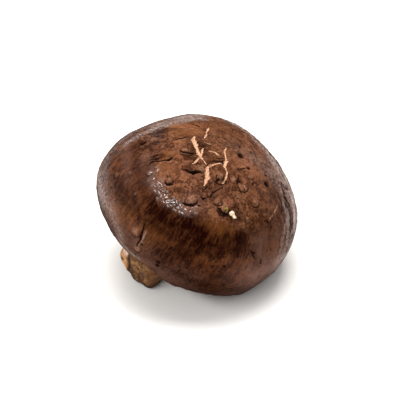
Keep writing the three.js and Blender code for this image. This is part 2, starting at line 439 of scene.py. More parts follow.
@dataclass
class CapForm:
    """The cap's outline: a superellipse crown over a rolled margin, pushed in and out by broad swells."""

    radius: float = 29.0
    height: float = 25.6
    fullness: float = 2.3
    margin_radius: float = 20.3
    margin_drop: float = 9.4
    lip_in: float = 2.3
    lip_up: float = 2.0
    lip_fade: float = 0.25
    wall: Path = ((19.0, -6.5), (22.5, -4.6))
    roof_height: float = 1.0
    roof_fall: float = 3.4
    roof_radius: float = 23.1
    roof_hole: float = 0.12
    swells: tuple[Swell, ...] = (
        Swell(163, 88, 12, 9, 0.8), Swell(142, 57, 9.5, 9.5, -1), Swell(84, 42, 13, 10, 0.8),
        Swell(355, 68, 10.5, 10, 0.6), Swell(326, 116, 9.5, 6, -1), Swell(4, 156, 7, 5, -1.4),
        Swell(40, 156, 6.5, 5, 1.9), Swell(323, 160, 6, 4, 1.7), Swell(260, 124, 10, 5, 0.7),
        Swell(208, 134, 15, 5, -0.8), Swell(245, 156, 5, 4.5, -1.5), Swell(240, 74, 14, 6.5, -0.5),
        Swell(225, 46, 16, 5, 0.45), Swell(290, 50, 14, 5, 0.4), Swell(100, 120, 14, 6, 0.7),
        Swell(70, 96, 7, 7, -0.6), Swell(271, 109, 17, 8, -0.8))

    def base(self, slope: Array, azimuth: Array) -> tuple[Array, Array, Array]:
        """Points of the unswollen outline, with their normals and the directions down it.

        Above the widest ring the reach is ((sin s / R)^n + (cos s / H)^n)^(-1/n) at slope s; below it, the
        radius is the margin's plus the rest times sin s, and the level is the drop times cos s.

        Args:
            slope: Slopes, in degrees.
            azimuth: Azimuths, in degrees.

        Returns:
            Points in mm, unit normals and unit directions down the outline.
        """
        s, a = np.radians(slope), np.radians(azimuth)
        sine, cosine = np.sin(s), np.cos(s)
        lift = np.maximum(cosine, 0)
        n, wide = self.fullness, self.radius - self.margin_radius
        reach = ((sine / self.radius) ** n + (lift / self.height) ** n) ** (-1 / n)
        upper = np.stack([(reach * sine / self.radius) ** (n - 1) / self.radius,
                          (reach * lift / self.height) ** (n - 1) / self.height])
        lower = np.stack([sine / wide, cosine / self.margin_drop])
        above = slope <= 90
        r = np.where(above, reach * sine, self.margin_radius + wide * sine)
        z = np.where(above, reach * cosine, self.margin_drop * cosine)
        normal = np.where(above, upper, lower)
        normal = normal / np.hypot(*normal)

        def spun(radial: Array, level: Array) -> Array:
            """Turns a radius and a level to the azimuths."""
            return np.stack([radial * np.cos(a), radial * np.sin(a), level], -1)

        return spun(r, z), spun(normal[0], normal[1]), spun(normal[1], -normal[0])

    def falloff(self, points: Array, normals: Array, place: Swell | Patch) -> Array:
        """A bell exp(-(round / wide)^2 - (down / tall)^2) about a place on the outline, 0 on the far side.

        Args:
            points: Points of the unswollen outline.
            normals: Their normals.
            place: The swell or patch in the middle.

        Returns:
            Values from 0 to 1.
        """
        heart, normal, down = self.base(place.slope, place.azimuth)
        turn = np.radians(place.azimuth)
        level = np.array([-np.sin(turn), np.cos(turn), 0])
        x, y = (points - heart) @ level / place.wide, (points - heart) @ down / place.tall
        return np.where(normals @ normal > 0, np.exp(-x * x - y * y), 0)

    def skin(self, slope: Array, azimuth: Array) -> tuple[Array, Array, Array]:
        """Points of the swollen outline: the base points moved along their normals by the swells' sum.

        Args:
            slope: Slopes, in degrees.
            azimuth: Azimuths, in degrees.

        Returns:
            Swollen points, base points and normals.
        """
        points, normals, _ = self.base(slope, azimuth)
        out = sum(swell.out * self.falloff(points, normals, swell) for swell in self.swells)
        return points + normals * np.asarray(out)[..., None], points, normals

    def spot(self, azimuth: float, slope: float) -> Array:
        """The point of the swollen outline at one azimuth and slope."""
        return self.skin(slope, azimuth)[0]

    def chain(self, path: Path) -> Array:
        """Points of the swollen outline along a path of azimuths and slopes."""
        return np.array([self.spot(azimuth, slope) for azimuth, slope in path])

    def roof(self, r: Array) -> Array:
        """Level of the hollow's roof at a radius: its height less its fall times the radius share squared."""
        return self.roof_height - self.roof_fall * (r / self.roof_radius) ** 2


@dataclass
class Grain:
    """Sizes in mm and strengths of the small relief of the cap.

    Warp pushes marks about by the ragged share of a noise. Streaks are two noises, each with its shares round
    and down. Fray makes a tear's width uneven. A lip stands off a tear by a number of its half widths.
    """

    lump: float = 7.0
    lump_out: float = 0.2
    knob: float = 2.6
    knob_out: float = 0.17
    papilla: float = 0.85
    papilla_out: float = 0.1
    crease: float = 1.7
    crease_half: float = 0.16
    crease_depth: float = 0.24
    scale: float = 2.3
    scale_radius: float = 0.62
    scale_out: float = 0.18
    fleck_depth: float = 0.12
    sugar: float = 0.68
    sugar_half: float = 1.8
    sugar_out: float = 0.17
    dust: float = 0.42
    dust_out: float = 0.035
    fibre_out: float = 0.05
    warp: float = 1.1
    ragged: float = 0.3
    streaks: tuple[Triple, Triple] = ((1.1, 1.1, 0.3), (2.6, 2.6, 0.5))
    fleck: float = 1.25
    fleck_radius: float = 0.2
    fray: float = 0.42
    lip_away: float = 1.55
    lip_half: float = 0.5


@dataclass
class Cap:
    """The cap's skin: a polar grid over the crown, down the flank, round the margin and across the roof.

    Grid values are the first slope, the last one and the number of rings. The droop is the way down in the
    standing frame once the mushroom lies. Fibres wander by a part of a radian and run a step of mm for each
    degree of slope. Marks of one tone are named as the finish's colours.
    """

    form: CapForm = field(default_factory=CapForm)
    grain: Grain = field(default_factory=Grain)
    sectors: int = 440
    crowding: float = 0.38
    crowded_azimuth: float = 242.0
    crown_slopes: tuple[float, float, int] = (0.6, 75.0, 150)
    flank_slopes: tuple[float, float, int] = (75.5, 112.0, 42)
    margin_slopes: tuple[float, float, int] = (114.0, 180.0, 16)
    least_creased: float = 0.3
    wander: float = 0.05
    fibre_step: float = 0.48
    lip_rings: int = 4
    roof_rings: int = 6
    droop: Triple = (0.355, -0.588, -0.727)
    shoulder: Path = (
        (212, 54.5), (217.5, 57), (223.5, 57), (228.5, 59), (233, 60), (237.5, 59.6), (242.5, 58),
        (248.5, 56.5), (253, 55.5))
    warts: tuple[Wart, ...] = (
        Wart(226, 51.2, 1.05, 0.55), Wart(223, 49.6, 0.55, 0.3), Wart(212, 57, 0.9, 0.3),
        Wart(196, 74, 1.05, 0.3), Wart(203, 66, 0.8, 0.25), Wart(246.5, 51.8, 1.55, 0.42),
        Wart(264, 45.4, 1.15, 0.42), Wart(270, 47.6, 1.75, 0.7), Wart(287, 32, 1.3, 0.35),
        Wart(298, 40, 1.3, 0.35), Wart(257, 31, 1.9, 0.3), Wart(257, 31.6, 0.5, 0.35),
        Wart(236, 100, 1.1, 0.25), Wart(274, 28, 1.2, 0.3), Wart(256, 44, 0.7, 0.3), Wart(230, 85, 1.5, 0.25),
        Wart(281, 38, 0.8, 0.25), Wart(306, 47, 0.8, 0.22), Wart(216, 70, 0.7, 0.2),
        Wart(235, 33.5, 1.4, 0.3), Wart(209, 33, 1.6, 0.25), Wart(240, 45, 0.5, 0.2), Wart(217, 42, 0.6, 0.2),
        Wart(196, 44, 0.8, 0.2), Wart(290, 50, 0.9, 0.25), Wart(316, 34, 0.9, 0.25), Wart(302, 24, 1, 0.25),
        Wart(100, 76, 1.4, 0.45), Wart(42, 70, 1.3, 0.4), Wart(72, 52, 1.5, 0.45), Wart(120, 62, 1.2, 0.35),
        Wart(18, 58, 0.9, 0.3), Wart(84, 64, 0.8, 0.3), Wart(140, 74, 1, 0.3))
    tears: tuple[Tear, ...] = (
        Tear(((181, 24.6), (190, 25.5), (198, 25.2), (207, 25.8), (216, 26.8), (222, 27.4)), 0.66, 0.5, 0.12,
             1, (0.35, 0.95, 0.75, 1, 0.7, 0.75, 0.45)),
        Tear(((222, 27.2), (216, 24.2), (210, 21.8)), 0.4, 0.4, 0.08, 1, (0.9, 0.6, 0.9, 0.25)),
        Tear(((222.5, 27.8), (225, 31.5), (226, 35)), 0.34, 0.4, 0.08, 1, (1.2, 0.6, 0.7, 0.2)),
        Tear(((224, 27.8), (230, 27.8), (236, 28.4)), 0.27, 0.35, 0.08, 1, (1.2, 0.6, 0.7, 0.2)),
        Tear(((136, 21), (150, 19.2), (167, 18), (182, 18.4)), 0.34, 0.3, 0.06, 0.8, (0.3, 0.8, 0.5, 1, 0.6)),
        Tear(((210, 5.6), (236, 9.8), (250, 13.5), (256, 16.8), (257, 20), (256.5, 22), (260, 23),
              (264, 25.5), (264, 29), (264, 32), (262.5, 34)), 0.42, 0.45, 0.14, 1,
             (0.2, 0.9, 0.75, 1, 1.1, 0.6, 0.7, 0.7, 0.2)),
        Tear(((256, 21.4), (248, 21.8), (244, 24), (240, 27)), 0.3, 0.4, 0.1, 1,
             (0.3, 0.5, 0.8, 0.5, 1, 1.4)),
        Tear(((239.5, 26.8), (240, 31), (243.5, 33), (246, 35.5), (247.2, 38), (248.5, 41.5)), 0.66, 0.6,
             0.14, 1, (0.7, 0.45, 0.9, 1, 1.1, 0.6, 0.15)),
        Tear(((194, 20), (195, 16), (196, 10)), 0.13, 0.1, 0.05, 0.4, (0.4, 1, 0.3)),
        Tear(((217.5, 19.8), (223, 16.4), (234, 16.4), (243, 17.6)), 0.22, 0.15, 0.1, 0.9,
             (0.4, 1, 0.9, 0.3)),
        Tear(((192, 37.5), (192, 34), (192, 31)), 0.22, 0.05, 0.04, 0.45, (0.4, 1, 0.3)),
        Tear(((189, 38), (188, 33.5), (185, 28.6)), 0.28, 0.3, 0.08, 0, (0.3, 0.8, 1, 0.5)),
        Tear(((236, 19.8), (243, 18.5), (250, 16.4)), 0.22, 0.35, 0.14, 0, (0.4, 1, 1)),
        Tear(((238, 24), (244, 21.8), (251, 19.4)), 0.3, 0.3, 0.12, 0, (0.4, 1, 0.8)),
        Tear(((205, 36.2), (209, 35), (212, 32.8), (214, 30.2), (216.5, 28)), 0.3, 0.6, 0.12, 0,
             (0.3, 1.1, 1, 0.7, 0.4)),
        Tear(((225, 42.4), (228, 40.6), (232, 40.2), (234, 39), (236, 37), (238.5, 35)), 0.48, 0.95, 0.24, 0,
             (0.2, 0.4, 0.7, 1.15, 0.9, 0.2)),
        Tear(((207, 55.2), (206, 53), (208, 50), (210, 47), (212, 44.5), (212, 42)), 0.26, 0.5, 0.16, 0,
             (0.5, 1, 0.7, 0.9, 1.2, 0.4)),
        Tear(((202, 51.8), (202, 50), (202.5, 48.2)), 0.3, 0.5, 0.1, 0, (0.6, 1, 0.8)),
        Tear(((204, 53), (205.5, 50), (207, 47)), 0.3, 0.35, 0.1, 0, (0.3, 1, 0.5)),
        Tear(((225, 54), (227, 53.7), (228.6, 52.9), (230, 51.6)), 0.24, 0.3, 0.06, 0, (0.4, 1, 1.2, 0.5)),
        Tear(((243.5, 55.6), (247, 55), (250, 53.6), (251, 51.6)), 0.3, 0.35, 0.08, 0, (0.6, 1.1, 1, 0.4)),
        Tear(((252, 53), (254.5, 52.2)), 0.22, 0.35, 0.08, 0, (0.6, 1, 0.5)),
        Tear(((251, 48.2), (253.5, 47.8), (255.5, 46.8)), 0.28, 0.5, 0.1, 0, (0.6, 1, 0.8)),
        Tear(((250, 45.4), (251, 41.5), (252, 38.5), (254, 35.5), (257.5, 33.6)), 0.16, 0.32, 0.22, 0,
             (0.5, 1, 0.8, 1, 0.4), 0.8),
        Tear(((254, 44.8), (254, 41), (256, 37.8), (258.5, 34.6)), 0.15, 0.3, 0.2, 0, (0.5, 1, 0.7, 0.4),
             0.7),
        Tear(((257, 45.5), (258, 42), (261, 38.8), (264, 36.2), (266.5, 33.6)), 0.19, 0.36, 0.22, 0,
             (0.9, 1.1, 0.8, 0.9, 0.3), 0.8),
        Tear(((253.5, 30), (254, 33), (257, 34.5)), 0.18, 0.3, 0.14, 0, (0.4, 1, 0.6)),
        Tear(((259.5, 28), (261.5, 30.5), (260.5, 33.5)), 0.2, 0.3, 0.18, 0, (0.4, 1, 0.5)),
        Tear(((265, 48), (268, 49.9), (272, 50.3), (275, 49.4)), 0.27, 0.4, 0.06, 0, (0.5, 1.1, 1.2, 0.6)),
        Tear(((278, 20), (293, 18.4), (311, 17.8)), 0.2, 0.25, 0.12, 0, (0.4, 1, 0.8, 0.5)),
        Tear(((326, 44), (319, 46), (313, 48.8), (308, 51.8)), 0.17, 0.1, 0.05, 0.8, (0.7, 1, 0.8, 0.3)),
        Tear(((176.5, 21.5), (176.5, 19), (177, 15), (178, 10.5), (187, 7), (189, 5), (84, 4.2), (51, 8.5)),
             0.2, 0.2, 0.1, 0, shade=0.6),
        Tear(((192.5, 19.8), (200, 16.2), (201.5, 13)), 0.14, 0.1, 0.05, 0.7),
        Tear(((169.5, 33.8), (165, 29), (160.5, 25.5)), 0.18, 0.1, 0.05, 0.5),
        Tear(((132.5, 16), (131, 12)), 0.3, 0.2, 0.05, 0, shade=0.5),
        Tear(((296, 65), (300, 70), (303, 73)), 0.22, 0.4, 0.05, 0),
        Tear(((306, 71), (308, 75)), 0.22, 0.35, 0.05, 0, (0.5, 1, 0.5)),
        Tear(((353, 37.5), (342.5, 43.5), (341.5, 52), (340.5, 62.5), (339, 68)), 0.52, 0.6, 0.3, 0,
             (0.5, 1, 0.9, 1.1, 0.8, 0.6)),
        Tear(((336.5, 36), (333, 40.5), (332.5, 45), (327, 50)), 0.36, 0.4, 0.22, 0, shade=0.7),
        Tear(((352, 40), (350, 50), (349, 60), (350, 72)), 0.4, 0.4, 0.24, 0, shade=0.4),
        Tear(((356, 50), (356, 62), (1, 72)), 0.4, 0.4, 0.22, 0, shade=0.4),
        Tear(((325, 55), (322, 62), (321, 69)), 0.3, 0.3, 0.2, 0, shade=0.6),
        Tear(((331, 57), (329, 64), (328, 72)), 0.3, 0.35, 0.22, 0, shade=0.7),
        Tear(((335.5, 60), (334, 68), (335, 78)), 0.3, 0.3, 0.22, 0, shade=0.5),
        Tear(((232, 77), (233, 80), (234, 84), (235, 88), (235, 96)), 0.36, 0.55, 0.05, 0,
             (0.3, 0.6, 0.9, 1, 0.5)), Tear(SCRATCH, 0.24, -0.2, 0, 0, (0.3, 0.8, 1, 0.8, 0.4), 0),
        Tear(((60, 30), (75, 36), (84, 47)), 0.4, 0.45, 0.1, 1, (0.3, 1, 0.6, 0.3)),
        Tear(((75, 36), (72, 42), (76, 48)), 0.3, 0.4, 0.1, 1, (0.9, 0.6, 0.8, 0.2)),
        Tear(((108, 52), (116, 60), (117, 70)), 0.3, 0.4, 0.14, 0),
        Tear(((20, 50), (26, 58), (24, 68)), 0.35, 0.4, 0.16, 0))
    pits: tuple[Wart, ...] = (
        Wart(184, 53.8, 1, 1), Wart(353.8, 41, 0.75, 0.6), Wart(356.4, 44.2, 0.85, 0.7),
        Wart(326, 31, 0.95, 0.9), Wart(314, 8, 1.1, 0.5), Wart(309.5, 17.8, 0.55, 0.4),
        Wart(337, 26.5, 0.5, 0.4), Wart(335, 17.5, 0.35, 0.3), Wart(250, 98, 0.6, 0.5),
        Wart(250.5, 106, 0.6, 0.5), Wart(252, 79.5, 0.4, 0.4), Wart(237, 89, 0.4, 0.35),
        Wart(238, 48, 0.3, 0.3), Wart(257, 33, 0.5, 0.5), Wart(300, 68, 0.4, 0.3), Wart(290, 93, 0.5, 0.3),
        Wart(254, 48, 0.4, 0.4), Wart(271.5, 48.4, 0.3, 0.4), Wart(262, 92, 0.35, 0.3),
        Wart(276, 84, 0.35, 0.3), Wart(284, 78, 0.4, 0.3), Wart(70, 60, 0.7, 0.5), Wart(128, 80, 0.6, 0.4),
        Wart(30, 88, 0.6, 0.4))
    creased: Marks = (
        Patch(284, 30, 7, 7), Patch(262, 42, 5, 3, 0.8), Patch(302, 40, 8, 6, 0.7), Patch(235, 21, 4, 3, 0.8),
        Patch(212, 40, 5, 4, 0.6), Patch(160, 28, 7, 4, 0.5), Patch(280, 60, 5, 3, 0.4),
        Patch(60, 40, 12, 10, 0.7))
    moss: Marks = (Patch(271.4, 47.6, 0.55, 0.4, 0.9, 1.5),)
    rose: Marks = (
        Patch(303, 15.5, 3.6, 2.8, 1, 2), Patch(312, 21, 2.2, 1.4, 0.8, 2), Patch(325, 24, 2.6, 2, 0.9, 2),
        Patch(318, 33, 2.2, 2.6, 0.7, 1.5), Patch(271, 42.6, 1.7, 1.5, 1, 2), Patch(274.5, 44.5, 1.2, 1, 0.7),
        Band(((161, 28.8), (154, 24.2)), 0.5, 1, 2), Band(((66, 25), (51, 17)), 0.7, 0.9, 1.5),
        Patch(219, 47, 4, 3, 0.45), Patch(238, 42, 5, 3, 0.3), Patch(318, 28, 4, 4, 0.5),
        Patch(296, 36, 3, 3, 0.4), Patch(250, 51, 5, 2.5, 0.25), Patch(206, 43, 5, 4, 0.3),
        Band(((227, 43), (234, 41.5), (239, 37.5)), 0.5, 0.8, 1.5), Patch(329, 25.2, 2.4, 2, 1, 2),
        Patch(262, 40, 3.4, 2.8, 0.65), Band(SCRATCH, 0.3, 1, 2))
    ochre: Marks = (
        Band(((163, 38), (158, 32), (149, 25)), 2, 1, 2.5),
        Band(((178, 37), (175, 30), (166, 22.5)), 2, 1, 2.5), Patch(205, 12, 11, 7, 0.35),
        Band(((192, 37), (192, 31.5)), 0.6, 0.9, 1.5), Patch(216, 46, 5, 4, 0.35),
        Patch(305, 14, 3.2, 3.2, 0.4), Patch(257, 30, 2.4, 2.2, 0.6), Band(((214, 66), (222, 67)), 1.2, 0.3),
        Band(((116, 22.2), (96.5, 21), (76.5, 18.5), (52, 15.8)), 1.1, 0.6, 1.5),
        Band(((145.5, 14.5), (107.5, 10.5), (55.5, 9)), 0.9, 0.5, 1.5), Patch(120, 20, 8, 7, 0.5),
        Patch(306, 19, 6, 4, 0.35), Patch(33, 26, 5, 4, 0.4), Patch(60, 40, 12, 9, 0.4),
        Patch(120, 30, 8, 6, 0.4))
    olive: Marks = (
        Patch(273, 59, 6.5, 2.6, 0.9), Patch(242, 79, 4.5, 4), Patch(219, 84, 5, 4.5, 0.6),
        Patch(212, 82, 4, 4, 0.4), Patch(312, 66, 4, 3, 0.4), Patch(255, 79, 4, 3, 0.25),
        Patch(300, 52, 5, 3.5, 0.35), Patch(282, 103, 4, 1.8, 0.5), Patch(257, 30, 1.8, 1.8, 0.5),
        Patch(298, 41, 1.8, 1.5, 0.5), Patch(244, 22, 2.5, 1.6, 0.6), Patch(208, 46, 2, 2.4, 0.6))
    # Dark marks: partly the skin's own darker patches, partly painted shade on the front flank, the lower cap
    # and the crown's top.
    dark_and_shade: Marks = (
        Band(((204, 58), (212, 62), (220, 65), (231, 67.5), (241, 67)), 3, 0.62), Patch(306, 62, 6, 8, 0.4),
        Band(((231, 68), (241, 67.5), (250, 65.5), (258, 64), (264, 64)), 3.2, 0.95),
        Patch(256, 68, 4.4, 3.6, 0.95), Band(((236, 75), (248, 75), (256, 72), (262, 68)), 2.6, 0.75),
        Patch(298, 56, 4.4, 4.4, 0.6), Band(((250, 68), (262, 71), (272, 72), (286, 67)), 2.8, 0.7),
        Patch(287, 61, 4, 3.4, 0.9), Patch(95, 28, 24, 13, 0.3),
        Band(((153, 31.5), (151, 24.5)), 0.4, 0.8, 1.5), Patch(91, 18, 4, 3, 0.4),
        Band(((200.5, 27.2), (202, 23), (204, 16.8)), 0.8, 0.7), Patch(306.5, 51.2, 1.6, 1, 0.9),
        Patch(310, 54.2, 1.2, 1.6, 0.8), Band(((326, 36), (328, 44), (322, 50)), 1.8, 0.5),
        Patch(206, 23, 4, 1.4, 0.7), Patch(228, 23.5, 4.5, 2.2, 0.5), Patch(214, 31, 2.4, 1.6, 0.6),
        Patch(233, 38, 4, 1.6, 0.3), Patch(262, 36, 5, 3, 0.4), Patch(340, 30, 4, 5, 0.5),
        Patch(250, 86, 6.5, 4.6, 0.75), Patch(270, 80, 5, 3, 0.4), Patch(174, 45, 5, 3, 0.6),
        Patch(178, 33, 2.4, 3, 0.4), Patch(315, 40, 5, 4, 0.4), Patch(280, 99, 6, 2, 0.6),
        Patch(300, 69, 2.2, 3, 0.4), Band(((338, 46), (336, 56), (338, 66)), 1.8, 0.75),
        Patch(130, 72, 9, 4, 0.5), Patch(40, 80, 9, 4, 0.5), Patch(246, 22, 3, 2.2, 0.6),
        Patch(256, 42, 4, 3, 0.5), Patch(306, 76, 3, 2, 0.3), Patch(210, 72, 5, 4, 0.5),
        Patch(186, 60, 8, 5, 0.4), Patch(330, 48, 4, 5, 0.5), Patch(210, 30, 3.5, 2, 0.35),
        Patch(226, 33, 3, 2, 0.35), Band(((203, 52), (206, 46), (210, 43)), 0.9, 0.7),
        Patch(276, 103, 16, 4, 0.75), Patch(274, 85, 9, 5, 0.55), Patch(192, 48, 4, 4, 0.55),
        Patch(185, 54, 2.2, 1.8, 0.6), Patch(300, 106, 10, 3, 0.4),
        Band(((195, 78), (204.5, 77), (212.5, 76), (217, 74)), 3, 0.6),
        Band(((252, 81.8), (259, 80.2), (264.5, 76), (268, 69.2), (273.5, 65), (277.5, 62.5)), 3.2, 0.75),
        Patch(270, 69, 5, 3, 0.85), Band(((214, 70), (220, 73), (226, 77)), 2.4, 0.55),
        Band(((258, 66), (263, 68), (266, 70.5), (266, 75)), 2, 1), Patch(281, 50, 3.4, 4.4, 0.5),
        Patch(252, 62.5, 6, 2.2, 0.9), Patch(325, 37, 6, 6, 0.5), Patch(311, 47, 6, 5, 0.45),
        Patch(290, 75.5, 3, 4, 0.4), Band(((290.5, 59.2), (295, 67.8)), 2, 0.4),
        Band(((128, 18), (100, 15), (62, 12.5)), 0.5, 0.6, 1.5))
    gloss: Marks = (
        Band(((212, 54.5), (217.5, 57), (223.5, 57), (228.5, 59), (233, 60), (237.5, 59.6), (242.5, 58),
              (248.5, 56.5), (252, 55.8)), 1.35, 0.95, 1.5),
        Band(((140, 44), (158, 60), (176, 78), (196, 88)), 3, 0.2), Patch(338, 86, 12, 9, 0.34),
        Band(((20, 36), (2, 50), (352, 66), (345, 90)), 4, 0.32),
        Band(((60, 32), (100, 38), (140, 42)), 3, 0.16), Patch(20, 70, 20, 12, 0.08),
        Patch(90, 76, 30, 14, 0.04))
    # Mauve marks: partly the skin's own tone, partly a painted reflection of the pale floor on the lower cap
    # and a painted haze along the shoulder's glints.
    mauve_and_haze: Marks = (
        Patch(306, 84, 8, 5.5), Patch(322, 78, 8, 6, 0.9), Patch(266, 91, 7, 2.6, 0.45),
        Patch(336, 48, 7, 12, 0.45), Patch(322, 62, 6, 6, 0.5), Patch(340, 60, 5, 7, 0.6),
        Patch(240, 97, 5, 3, 0.3), Patch(222, 96, 9, 4, 0.3), Patch(20, 95, 18, 6, 0.7),
        Patch(140, 95, 18, 7, 0.7),
        Band(((227, 126.2), (238, 125), (247, 115), (256, 110.2), (264.5, 109.2), (272, 110.5)), 2.8, 0.65),
        Band(((230, 96.5), (239.5, 98.8), (247.5, 98.5), (255, 97), (261, 96), (266, 87.2)), 2.2, 0.12),
        Band(((180, 67.8), (190, 64), (197.5, 67.5), (206, 69.2)), 2.6, 0.6),
        Band(((206, 86), (216, 91), (224, 98), (230, 106)), 2.8, 0.8), Patch(216, 72, 3, 3, 0.4),
        Band(((200, 54), (206, 57), (212.5, 58.5), (220, 59)), 2.6, 0.65), Patch(251, 52, 4, 3, 0.4),
        Band(((302, 60.8), (304, 67.8), (308.5, 75.2), (315, 85)), 3.5, 0.8), Patch(326, 64.5, 3, 3, 0.5),
        Patch(232, 99, 7, 6, 0.6), Patch(243, 88, 6, 4.5, 0.45))
    # Pale greyish marks: mostly a painted sheen, the reflection of the bright floor on the cap's rims and a
    # haze along the glints, with pale lines of the skin such as the scratch.
    sheen_and_veil: Marks = (
        Band(((176, 64), (170, 52), (160, 44), (144, 36), (126, 33)), 1.7, 0.8), Patch(187, 92, 11, 2.2, 0.8),
        Band(((350, 50), (346, 64), (343, 78)), 1.6, 0.8), Band(((338, 64), (338, 78)), 1.2, 0.6),
        Patch(352, 78, 6, 6, 0.7), Band(((90, 35), (60, 31), (30, 30), (7, 33)), 1.2, 0.8),
        Band(((212, 111), (226, 110)), 0.8, 0.3), Patch(90, 96, 16, 5, 0.4), Band(SCRATCH, 0.2, 0.45, 1.5),
        Patch(181, 47, 3, 2, 0.15), Patch(330, 78, 4, 3, 0.4), Patch(188, 86, 12, 4, 0.25),
        Band(((20, 30), (0, 38), (350, 50)), 1.4, 0.7),
        Band(((345, 36.8), (339, 42), (334.5, 47.5), (335, 52), (333.5, 58)), 0.55, 0.8, 1.5),
        Band(((328, 56), (325, 63), (324, 70)), 0.6, 0.5), Band(((333, 60), (331, 68), (331, 78)), 0.6, 0.6),
        Patch(354, 56, 4, 14, 0.85), Band(((354, 53.2), (349.5, 57), (346, 61.5), (343.5, 67)), 1.1, 1, 1.5),
        Band(((334.5, 50.2), (332.5, 56), (331.5, 61.5), (331.5, 68.8)), 1, 0.85, 1.5),
        Band(((43.5, 31.8), (24.5, 32.2), (8.5, 36), (359, 41.2)), 1, 0.9),
        Band(((222, 118.8), (227, 126.2), (232, 127.8), (238, 125)), 1, 0.55),
        Band(((206, 88), (216, 94), (224, 104)), 1.8, 0.45),
        Band(((213.5, 56.2), (218, 58.2), (223.5, 58), (228.5, 60.2), (233, 61.2), (237.5, 60.8),
              (242.5, 59.2), (248.5, 57.5), (253, 56.2)), 0.9, 0.12),
        Band(((341, 50), (340.5, 56), (341, 62)), 1, 0.6),
        Band(((164.5, 52.2), (153, 46.8), (144.5, 42), (132.5, 38.5), (118, 37)), 1.4, 0.6))
    # The brightest spots of the painted reflection on the rims.
    rim_glare: Marks = (
        Band(((18.5, 42), (11.5, 44.5), (7, 48)), 0.6, 0.5, 1.5), Band(((144.5, 41), (131, 38)), 1, 0.1),
        Band(((352, 50.5), (349, 54), (346, 57.8), (342.5, 61), (339.5, 64)), 0.8, 0.8, 1.5),
        Patch(188, 92, 9, 2, 0.12))

    def grid(self) -> tuple[Array, Array]:
        """Slopes and azimuths of the outer skin's points, the azimuths crowded by a sine towards one."""
        runs = (self.crown_slopes, self.flank_slopes, self.margin_slopes)
        slopes = np.concatenate([np.linspace(*run) for run in runs])
        turn = np.arange(self.sectors) / self.sectors * 360
        azimuths = turn - np.degrees(self.crowding * np.sin(np.radians(turn - self.crowded_azimuth)))
        return np.meshgrid(slopes, azimuths, indexing="ij")

    def patches(self, points: Array, normals: Array, marks: Marks) -> Array:
        """Strongest of the soft areas at each point, each a bell about its middle or path, made ragged.

        Args:
            points: Points of the unswollen outline.
            normals: Their normals.
            marks: The areas.

        Returns:
            Values from 0 to 1.
        """
        total = np.zeros(points.shape[:-1])
        torn = points + drift(points, 3.0, 66) * 0.9
        for mark in marks:
            if isinstance(mark, Band):
                path = np.stack([self.form.base(s, a)[0] for a, s in mark.path])
                square = (lengths(path_way(torn, path)[0]) / mark.half) ** 2
            else:
                square = -np.log(np.maximum(self.form.falloff(torn, normals, mark), FAINT))
            total = np.maximum(total, mark.strength * np.exp(-(square**mark.hard)))
        return np.clip(total * (1 + 0.4 * fractal(points, 1.6, 3, 61)), 0, 1)

    def drooping(self, way: Array, low: float, high: float) -> Array:
        """How much a way points down the drooping side: a smoothstep of its cosine from low to high."""
        return smoothstep(low, high, way @ np.array(self.droop) / np.maximum(lengths(way), TINY))

    def knob(self, way: Array, radius: Array | float) -> tuple[Array, Array, Array]:
        """A small dome in a groove: smoothstep of d from 1 to 0.25, and exp(-((d - 1.12) / 0.17)^2) round it.

        The groove is strongest on the drooping side, where the dome overhangs it.

        Args:
            way: Ways from the dome's middle.
            radius: Its radius.

        Returns:
            Dome, groove and the groove's shadow, each from 0 to 1.
        """
        d = lengths(way) / radius
        low = self.drooping(way, -0.4, 0.6)
        dome = smoothstep(1.0, 0.25, d)
        groove = bell(d, 1.12, 0.17)
        return dome, groove * (0.3 + 0.7 * low), groove * (0.2 + 0.8 * low)

    def grained(self, points: Array, warp: Array, crown: Array, creased: Array) -> tuple[Array, Array, Array]:
        """The relief that covers the whole skin: lumps, papillae and creases.

        Creases follow the zero lines of a noise; papillae come from cellular noise.

        Args:
            points: Points of the swollen outline.
            warp: How far each is pushed to make the marks ragged.
            crown: How much each belongs to the crown, from 0 to 1.
            creased: How creased the skin is at each, from 0 to 1.

        Returns:
            The height in mm, the papillae and the creases.
        """
        g = self.grain
        out = g.lump_out * fractal(points, g.lump, 3, 3) + g.knob_out * fractal(points, g.knob, 3, 9)
        near, name, _ = cells(points + warp, g.papilla, 17)
        papilla = np.clip(1 - near * 1.5, 0, 1) * smoothstep(0.35, 0.8, name)
        out += g.papilla_out * papilla * (0.4 + 0.6 * crown)
        line = np.abs(smooth_noise(points + 1.4 * warp, g.crease, 23)) * g.crease
        broken = smoothstep(-0.35, 0.25, smooth_noise(points, 2.2, 24))
        crease = bell(line, 0, g.crease_half) * (0.1 + 0.9 * creased) * crown * broken
        out += g.crease_depth * creased * (0.5 * smoothstep(0, 0.6, line) - crease)
        return out, papilla, crease

